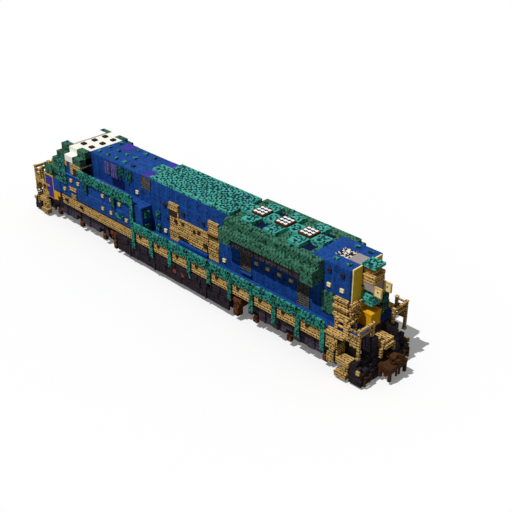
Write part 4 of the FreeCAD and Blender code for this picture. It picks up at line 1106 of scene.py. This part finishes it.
def makeHatches():
    (x0, x1), (low, high) = hatchLook["x"], hatchLook["z"]
    face, border = hatchLook["face"], hatchLook["border"]
    sheet = latticePanel((x0, face, low), (x1 - x0, 0, 0), (0, 0, high - low), (8, 16), hatchHole, 0.02)
    rim = crates("hatch_rim", [(a, b, *depth, c, d) for a, b, c, d, *depth in around(
        x0, x1, low, high, border, face + 0.02, -2.51)], edge=0.003)
    # a dark sheet behind the hatch lattice: painted shade seen through its holes
    inside = [(x0 + border, x1 - border, face + 0.021, -2.52, low + border, high - border)]
    core = crates("cab_hatch_core_right", inside, edge=0.002)
    holes = crates("cab_hatch_dark_right", hatchLook["dark"], edge=0.002)
    settleTwins(core, paintedShadeCore, "cab_hatch_right")
    settleTwins(holes, blackPaintAndShade, "cab_hatch_right")
    settleTwins(joined("cab_hatch_lattice_right", sheet, rim), hatchTeal, "cab_hatch_right", stands=True)


cabBlocks = {
    "cab_pillars": (tan, 0.004, [
        (-27, -26.76, -2.56, -2.5, -1.42, -1.02), (-26.3, -26, -2.56, -2.5, -1.94, -1.02),
        (-25.98, -25.02, -2.56, -2.5, -1.36, -1.02), (-25.04, -24.98, -2.5, -1.52, -1.16, -1.02),
        (-25.04, -24.98, -2.5, -2.42, -2, -1.16)]),
    "cab_sills": (paleBlue, 0.008, [(-27, -25.02, -2.6, -2.5, -2.1, -2)]),
    # the rear pillars are dark brown: painted shade under the pillar tops
    "cab_rear_pillars": (hollowShadeBrown, 0.004, [(-25.98, -25.02, -2.54, -2.5, -2, -1.38)]),
    "cab_plaques": (tan, 0.005, [(-26.72, -25.82, -2.6, -2.5, -3.34, -3.06)]),
    "locker_plaques": (hatchTeal, 0.005, [(-21, -20.1, -2.58, -2.5, -3.64, -3.3)]),
    "locker_ledges": (blue, 0.005, [(-24.2, -21, -2.54, -2.5, -3.98, -3), (-20.9, -20.1, -2.54, -2.5, -3.24, -3)]),
    # a black sheet in the cab's rear doorway: painted shade
    "cab_inside": (blackPaintAndShade, 0.004, [(-25.2, -25.1, -2.4, -1.56, -3.9, -1.2)]),
}
cabLook = {
    "desk": [(-27.6, -27.1, -2, -1.1, -3, -2.5), (-27.5, -27.2, -1.9, -1.2, -2.48, -2.3),
             (-27.6, -27.1, 1.1, 2, -3, -2.6)],
    "seats": [(-26.7, -26.1, -1.9, -1.2, -3.2, -3.04), (-26.2, -26.06, -1.86, -1.24, -3.02, -2.3),
              (-26.5, -26.3, -1.62, -1.48, -3.9, -3.2)],
    "lamps": [(-28, -0.24, -0.5), (-28, 0.24, -0.5)],
    "boards": [(-28.06, -28, 0.5, 1.2, -0.62, -0.36), (-28.06, -28, -1.2, -0.5, -0.62, -0.36)],
}


def barLine(name, points, thick):
    # a round bar along a few points
    curve = bpy.data.curves.new(name, "CURVE")
    curve.dimensions = "3D"
    curve.bevel_depth = thick
    curve.bevel_resolution = 2
    curve.use_fill_caps = True
    line = curve.splines.new("POLY")
    line.points.add(len(points) - 1)
    for entry, place in zip(line.points, points):
        entry.co = (*spot(*place), 1)
    thing = bpy.data.objects.new(name, curve)
    bpy.context.scene.collection.objects.link(thing)
    pick(thing)
    bpy.ops.object.convert(target="MESH")
    return named(bpy.context.object, name)


def roundLamp(radius, depth):
    # a short can with a rim and a domed lens, facing -X, its back on x = 0
    deselectAll()
    bpy.ops.mesh.primitive_cylinder_add(vertices=28, radius=radius, depth=depth, location=(0, 0, depth / 2))
    can = placeInMesh(bpy.context.object)
    editFaces(can, lambda face: face.normal.z > 0.9)
    stepFaces((0.12 * radius, -0.25 * depth), (0.3 * radius, 0.12 * depth), (0.3 * radius, 0.06 * depth))
    doneEditing()
    return turned(can, -90, "Y")


def makeCab():
    settle(crates("cab_desk", cabLook["desk"], edge=0.02, segments=2), darkTeal)
    settle(mirrored(crates("cab_seats", cabLook["seats"], edge=0.02, segments=3)), steel)
    settle(stamped("cab_headlights", roundLamp(0.1, 0.06), cabLook["lamps"]), lampLens)
    settle(crates("number_boards", cabLook["boards"], edge=0.004), whiteTile)
    settle(mirrored(named(gateAlong(-26.5, -25.95, -2.58, -4, -3.62, depth=0.06), "locker_fences")), tan)


noseBlocks = {
    "nose_side_panels": (blue, 0.005, [(-29, -28.02, -2.56, -2.5, -4.14, -3.02)]),
    "nose_gold_blocks": (gold, 0.006, [(-29.02, -28.5, -2.58, -2.46, -4.9, -4.16),
                                       (-28.5, -28.2, -2.56, -2.46, -4.5, -4.16)]),
    "nose_cladding": (green, 0.006, [
        (-29.98, -29.02, -2.54, -2.5, -2.96, -2.5), (-29.98, -29.02, -2.55, -2.5, -2.48, -2.02),
        (-29, -28.1, -1.5, -0.6, -2, -1.9), (-29, -28.1, -0.55, 0, -2, -1.92)]),
    "nose_treads": (teal, 0.006, [(-30.5, -30.42, -2.2, -1.4, -3.3, -3.1), (-30.5, -30.42, -2.2, -1.4, -3.8, -3.6)]),
}
noseLook = {
    "fence": [(-31.12, -30.9, -2.3, -2.08, -5.3, -2.9), (-31.14, -30.88, -2.32, -2.06, -2.96, -2.84),
              (-31.08, -30.94, -2.08, -1.5, -3.04, -2.9), (-31.08, -30.94, -1.56, -1.1, -2.84, -2.66),
              (-31.1, -30.92, -1.2, -1.02, -3.98, -2.5), (-31.08, -30.94, -2.08, -1.2, -3.46, -3.34)],
    "gates": [(-2.6, -2, -31.44, -5.1, -4.3), (-2.58, -1.9, -31.42, -6.1, -5.3)],
    "lamps": [(-30.44, -0.9, -2.4), (-30.44, 0.9, -2.4)],
    "rail": [(-30.46, 0.62, -2.1), (-30.46, 0.62, -3.9)],
    "feet": [(-30.48, -30.3, 0.59, 0.65, z - 0.03, z + 0.03) for z in (-2.2, -3, -3.8)],
    "latch": [(-30.5, -30.42, -0.42, -0.34, -3.1, -2.9), (-30.53, -30.48, -0.44, -0.2, -3.02, -2.97)],
}


def makeNose():
    gates = [gateAcross(*place, depth=0.08, hole=wideHole) for place in noseLook["gates"]]
    fence = joined("nose_fences", crates("nose_fence_posts", noseLook["fence"]), *gates)
    settle(mirrored(fence), tan)
    settle(stamped("nose_lamps", roundLamp(0.11, 0.05), noseLook["lamps"]), lampLens)
    rail = barLine("nose_grab_rail", noseLook["rail"], 0.012)
    settle(joined("nose_grab_rail", rail, crates("nose_rail_feet", noseLook["feet"], edge=0.004)), steel)
    settle(crates("nose_door_latch", noseLook["latch"], edge=0.004), steel, body="nose_door")


makeHatches()
layBlocks(cabBlocks)
makeCab()
layBlocks(noseBlocks)
makeNose()
print("cab and nose made")


# Hood sides: doors with latches, grilles, panes, small lattice plates and the fins under the flares

doorRows = (((-25, -24, -20, -18), -3.9, -0.12), ((-23, -22, -21), -3.9, -2.05), ((-23,), -0.16, -0.02),
            ((-19,), -3.9, -1.1), (range(-16, -10), -0.92, -0.12), ((-15, -14, -13), -1.92, -1),
            ((-11,), -3.9, -0.98), ((-10, -8, -7, -6, -5, -3), -3.9, -1.6), ((-2, -1), -1.94, -0.1))
hoodLook = {
    "wall": -1.5,
    "doors": [(x, low, high) for row, low, high in doorRows for x in row],
    "proud": 0.02,
    "handle": [(-16.26, -16.2, -1.585, -1.53, -2.6, -2.4), (-16.28, -16.18, -1.54, -1.53, -2.66, -2.34)],
    "grilles": [(-19, -18, -0.98, -0.06), (-9, -8, -3.5, -2), (-4, -3, -3.96, -2)],
    "lattices": [(-21.6, -21), (-20.7, -20.1)],
    "fins": 24,
    "finSpan": (-9, -3),
    "finFace": -2.38,
}
gripLook = {"levels": (-2.56, -3.56), "half": 0.26, "box": (-2.24, -1.8), "wall": (-17.5, -17.06)}
sideBlocks = {
    "pale_panes": (pane, 0.004, [(-23.3, -22.62, -1.56, -1.5, -1.16, -0.22),
                                 (-22.5, -21.74, -1.57, -1.5, -1.26, -0.18)]),
    "pane_bars": (paleBar, 0.004, [(x, x + 0.05, -1.6, -1.54, -1.16, -0.24)
                                   for x in (-23.12, -22.86, -22.4, -22.2, -21.96)]),
    # a flat darker blue patch standing for the shade of a recess: painted shade
    "blue_recesses": (deepBlue, 0.001, [(-22.5, -21, -1.506, -1.49, -1.92, -1.22)]),
    "hood_ledges": (blue, 0.008, [(-14.98, -12.02, -1.74, -1.5, -3.86, -3.64),
                                  (-8.95, -7.95, -1.66, -1.5, -3.7, -3.58)]),
    "walkway_planks": (blue, 0.006, [
        (-17.95, -0.92, -2.46, -2.12, -4, -3.96), (-17.95, 0.98, -2.09, -1.83, -4, -3.965),
        (-17.95, 0.98, -1.8, -1.53, -4, -3.96), (0.02, 0.98, -1.5, -0.56, -4, -3.97),
        (-31.36, -30.5, -1.5, 0, -4, -3.97), (-31.36, -28.05, -2.46, -1.55, -4, -3.97)]),
}


def makeHoodDoors():
    wall, proud, latches = hoodLook["wall"], hoodLook["proud"], []
    doors = [(x + 0.04, x + 0.96, wall - proud, wall + 0.01, low, high) for x, low, high in hoodLook["doors"]]
    panels = crates("hood_doors", doors, edge=0.004)
    editFaces(panels, lambda face: face.normal.y < -0.9 and face.area > 0.1)
    bpy.ops.mesh.inset(thickness=0.035, use_individual=True)
    bpy.ops.transform.translate(value=(0, 0.005, 0))
    doneEditing()
    settle(mirrored(panels), blue)
    for x, low, high in hoodLook["doors"]:
        if high - low > 0.5:
            middle = (low + high) / 2
            latches.append((x + 0.86, x + 0.91, wall - 0.05, wall - 0.015, middle - 0.06, middle + 0.06))
            latches += [(x + 0.06, x + 0.1, wall - 0.035, wall - 0.015, z - 0.07, z + 0.07)
                        for z in (low + 0.2, high - 0.2)]
    layBlocks({"hood_latches": (deepBlue, 0.003, latches)})
    handle = crates("engine_door_handle_right", hoodLook["handle"], edge=0.003)
    settleTwins(handle, deepBlue, "engine_door_right")


def makeGrilles():
    slats, backs, face, count, (start, end) = [], [], *(hoodLook[key] for key in ("finFace", "fins", "finSpan"))
    for x0, x1, low, high in hoodLook["grilles"]:
        rows = round((high - low) * 6)
        step = (high - low) / rows
        slats += [(x0 + 0.05, x1 - 0.05, -1.545, -1.5, low + n * step + 0.03, low + (n + 1) * step - 0.04)
                  for n in range(rows)]
        slats += [(x, x + 0.05, -1.56, -1.5, low, high) for x in (x0, x1 - 0.05)]
        # a black sheet behind each grille: painted shade between the slats
        backs.append((x0 + 0.04, x1 - 0.04, -1.512, -1.49, low + 0.01, high - 0.01))
    fins = [(start, end, face + 0.05, face + 0.34, -1.5, -1)]
    for n in range(count):
        x = start + (end - start) * n / count
        fins.append((x + (0.012 if n % 4 else 0.1), x + 0.242, face, face + 0.3, -1.52, -1))
    layBlocks({"hood_grilles": (stoneGrille, 0.003, slats), "grille_backs": (blackPaintAndShade, 0.002, backs),
               "radiator_fins": (finStoneLit, 0.005, fins, "radiator_shutters")})


def makeSmallPlates():
    spans = hoodLook["lattices"]
    plates = [gateAlong(x0, x1, -1.58, -0.9, -0.1, depth=0.05) for x0, x1 in spans]
    tails = crates("lattice_tails", [(x0 + 0.2, x0 + 0.34, -1.56, -1.5, -1.25, -0.88) for x0, x1 in spans], edge=0.004)
    settle(mirrored(joined("side_lattices", *plates, tails)), darkTeal)
    # black sheets behind the small lattice plates: painted shade
    backs = [(x0 + 0.02, x1 - 0.02, -1.54, -1.5, -0.88, -0.12) for x0, x1 in spans]
    layBlocks({"side_lattice_backs": (blackPaintAndShade, 0.003, backs)})


def makeGrips():
    # lattice treads on the rear face of the side box and on the hood beside it
    (y0, y1), (x0, x1), half = gripLook["box"], gripLook["wall"], gripLook["half"]
    grips, backs = [], []
    for z in gripLook["levels"]:
        low, high = z - half, z + half
        grips.append(gateAcross(y0, y1, -17.84, low, high, depth=0.03, hole=slotted))
        grips.append(gateAlong(x0, x1, -1.62, low + 0.06, high + 0.06, depth=0.03, hole=slotted))
        backs += [(-18, -17.871, y0, y1, low, high), (x0, x1, -1.589, -1.5, low + 0.06, high + 0.06)]
    settle(mirrored(joined("step_grips", *grips)), hatchTeal, stands=["ladder_rungs"])
    # dark teal backs behind the grips: painted shade seen through their holes
    layBlocks({"grip_backs": (darkTeal, 0.004, backs)})


makeHoodDoors()
makeGrilles()
makeSmallPlates()
makeGrips()
layBlocks(sideBlocks)
print("hood sides made")


# Underframe: stones on the tank and on the bogies, straps, brown feet and copper caps

underBlocks = {
    "tank_stones": (brick, 0.012, [
        (-21.2 + 0.75 * n, -20.48 + 0.75 * n, -2.5 - 0.06 * (n * 5 % 3), -2.36, -5.46 - 0.03 * (n % 2), -5.06)
        for n in range(16)]
        + [(-21.0 + 0.6 * n, -20.42 + 0.6 * n, -2.45 - 0.03 * (n * 7 % 3), -2.36, -5.98, -5.52) for n in range(19)]
        + [(-21.2 + 0.8 * n, -20.4 + 0.8 * n, -2.42 - 0.02 * (n % 3), -2.3, -6.47, -6) for n in range(15)]
        + [(-8, 0, -2.3, -1.95, -5.1, -4.96)]),
    "tank_straps": (blackPaintAndShade, 0.004, [(x - 0.04, x + 0.04, -2.56, -2.4, -6.46, -5) for x in (-19.6, -16.8, -11.4)]),
    "tank_end_boards": (rust, 0.01, [
        (-22, -21.3, -2.44, -1.9, -5.5, -5.2), (-21.9, -21.4, -2.4, -1.9, -5.9, -5.5),
        (-21.75, -21.45, -2.4, -1.9, -6.6, -5.9), (-9, -8.1, -2.44, -1.9, -5.5, -5.2),
        (-8.8, -8.3, -2.4, -1.9, -5.9, -5.5), (-8.85, -8.4, -2.4, -1.9, -6.6, -5.9)]),
}
underLook = {
    "fillers": [(-18.5, -2.5, -5.3), (-12, -2.5, -5.3)],
    "buttons": [(-14.6, -2.45, -5.6), (-13.7, -2.45, -5.6)],
}
bogieLook = {
    "stones": [(x0, x1, -2.14 - 0.06 * (n % 2), -1.83, low, high) for n, (x0, x1) in enumerate(
        ((-7.7, -7.34), (-6.66, -6.1), (-6.06, -5.5), (-5.46, -4.92), (-4.88, -4.34), (-3.66, -3.1), (-3.06, -2.5),
         (-2.46, -1.9), (-1.86, -1.34), (-0.66, -0.32))) for low, high in ((-5.66, -5.24), (-6.12, -5.7))],
    "journals": [(x - 0.3, x + 0.3, -2.22, -1.94, -5.64, -5.26) for x in (-7, -4, -1)],
    "feet": [(x - 0.24, x + 0.14, -2.12, -1.86, -6.56, -6.16) for x in (-7.05, -4.05, -1.05)],
}


def makeUnderframe():
    layBlocks(underBlocks)
    fillers = stamped("tank_fillers", turned(roundLamp(0.09, 0.05), 90, "Z"), underLook["fillers"])
    settle(mirrored(fillers), darkCap)
    buttons = stamped("tank_buttons", wallCap(width=0.3, length=0.3, height=0.08), underLook["buttons"])
    settle(mirrored(buttons), copper)
    stones = crates("bogie_rear_stones", bogieLook["stones"] + bogieLook["journals"], edge=0.012)
    feet = crates("bogie_rear_feet", bogieLook["feet"], edge=0.01)
    for thing, made in ((stones, bogieStoneLit), (feet, rust)):
        settleTwins(mirrored(thing), made, "bogie_rear", swap=("rear", "front"), axis=(1, 0, 0))


makeUnderframe()
print("underframe made")


# Camera, light and floor

cameraSetup = {
    "place": (26.029, -22.439, 20.281),
    "azimuth": 44.71,
    "elevation": 29.58,
    "lens": 61.57,
    "sensor": 36,
}
lightSetup = {
    "sunTravel": (0.103, 0.466, -0.879),
    "sunPower": 2.9,
    "sunSize": 0.6,  # degrees
    "skyLevel": 0.19,
    "floorSize": 400,
    "floorSeen": 0.85,  # what the camera sees, and what the object gets back from it
    "floorGlow": 0.15,
    "floorBounce": 0.25,
}


def newObject(name, data):
    thing = bpy.data.objects.new(name, data)
    thing.rotation_mode = "QUATERNION"
    bpy.context.scene.collection.objects.link(thing)
    return thing


def addCamera():
    turn, lift = math.radians(cameraSetup["azimuth"]), math.radians(cameraSetup["elevation"])
    ahead = Vector((-math.sin(turn) * math.cos(lift), math.cos(turn) * math.cos(lift), -math.sin(lift)))
    lens = bpy.data.cameras.new("camera")
    lens.lens = cameraSetup["lens"]
    lens.sensor_width = cameraSetup["sensor"]
    lens.clip_end = 500
    camera = newObject("camera", lens)
    camera.location = cameraSetup["place"]
    camera.rotation_quaternion = ahead.to_track_quat("-Z", "Y")
    bpy.context.scene.camera = camera


def seenDirectly():
    path = added("LightPath").outputs
    rays = calc("MAXIMUM", path["Is Camera Ray"], path["Is Glossy Ray"])
    return calc("MAXIMUM", rays, path["Is Transmission Ray"])


def addLight():
    sun = bpy.data.lights.new("sun", "SUN")
    sun.energy = lightSetup["sunPower"]
    sun.angle = math.radians(lightSetup["sunSize"])
    newObject("sun", sun).rotation_quaternion = Vector(lightSetup["sunTravel"]).to_track_quat("-Z", "Y")
    world = bpy.data.worlds.new("sky")
    world.use_nodes = True
    bpy.context.scene.world = world
    sky = openTree(world.node_tree).nodes["Background"].inputs
    sky["Color"].default_value = (1, 1, 1, 1)
    wire(sky["Strength"], ramp(seenDirectly(), 0, 1, lightSetup["skyLevel"], 1))


def addFloor():
    deselectAll()
    bpy.ops.mesh.primitive_grid_add(x_subdivisions=8, y_subdivisions=8, size=lightSetup["floorSize"])
    floor = named(bpy.context.object, "floor")
    made, shader = newMaterial("floor")
    seen = seenDirectly()
    bounce, pale, glow = ([lightSetup[key]] * 3 + [1] for key in ("floorBounce", "floorSeen", "floorGlow"))
    wire(shader["Base Color"], blend(seen, bounce, pale))
    wire(shader["Emission Color"], blend(seen, (0, 0, 0, 1), glow))
    for label, value in (("Roughness", 1), ("Specular IOR Level", 0), ("Emission Strength", 1)):
        shader[label].default_value = value
    floor.data.materials.append(made)


addCamera()
addLight()
addFloor()
bpy.context.scene.view_settings.view_transform = "Standard"
print("camera and light set")
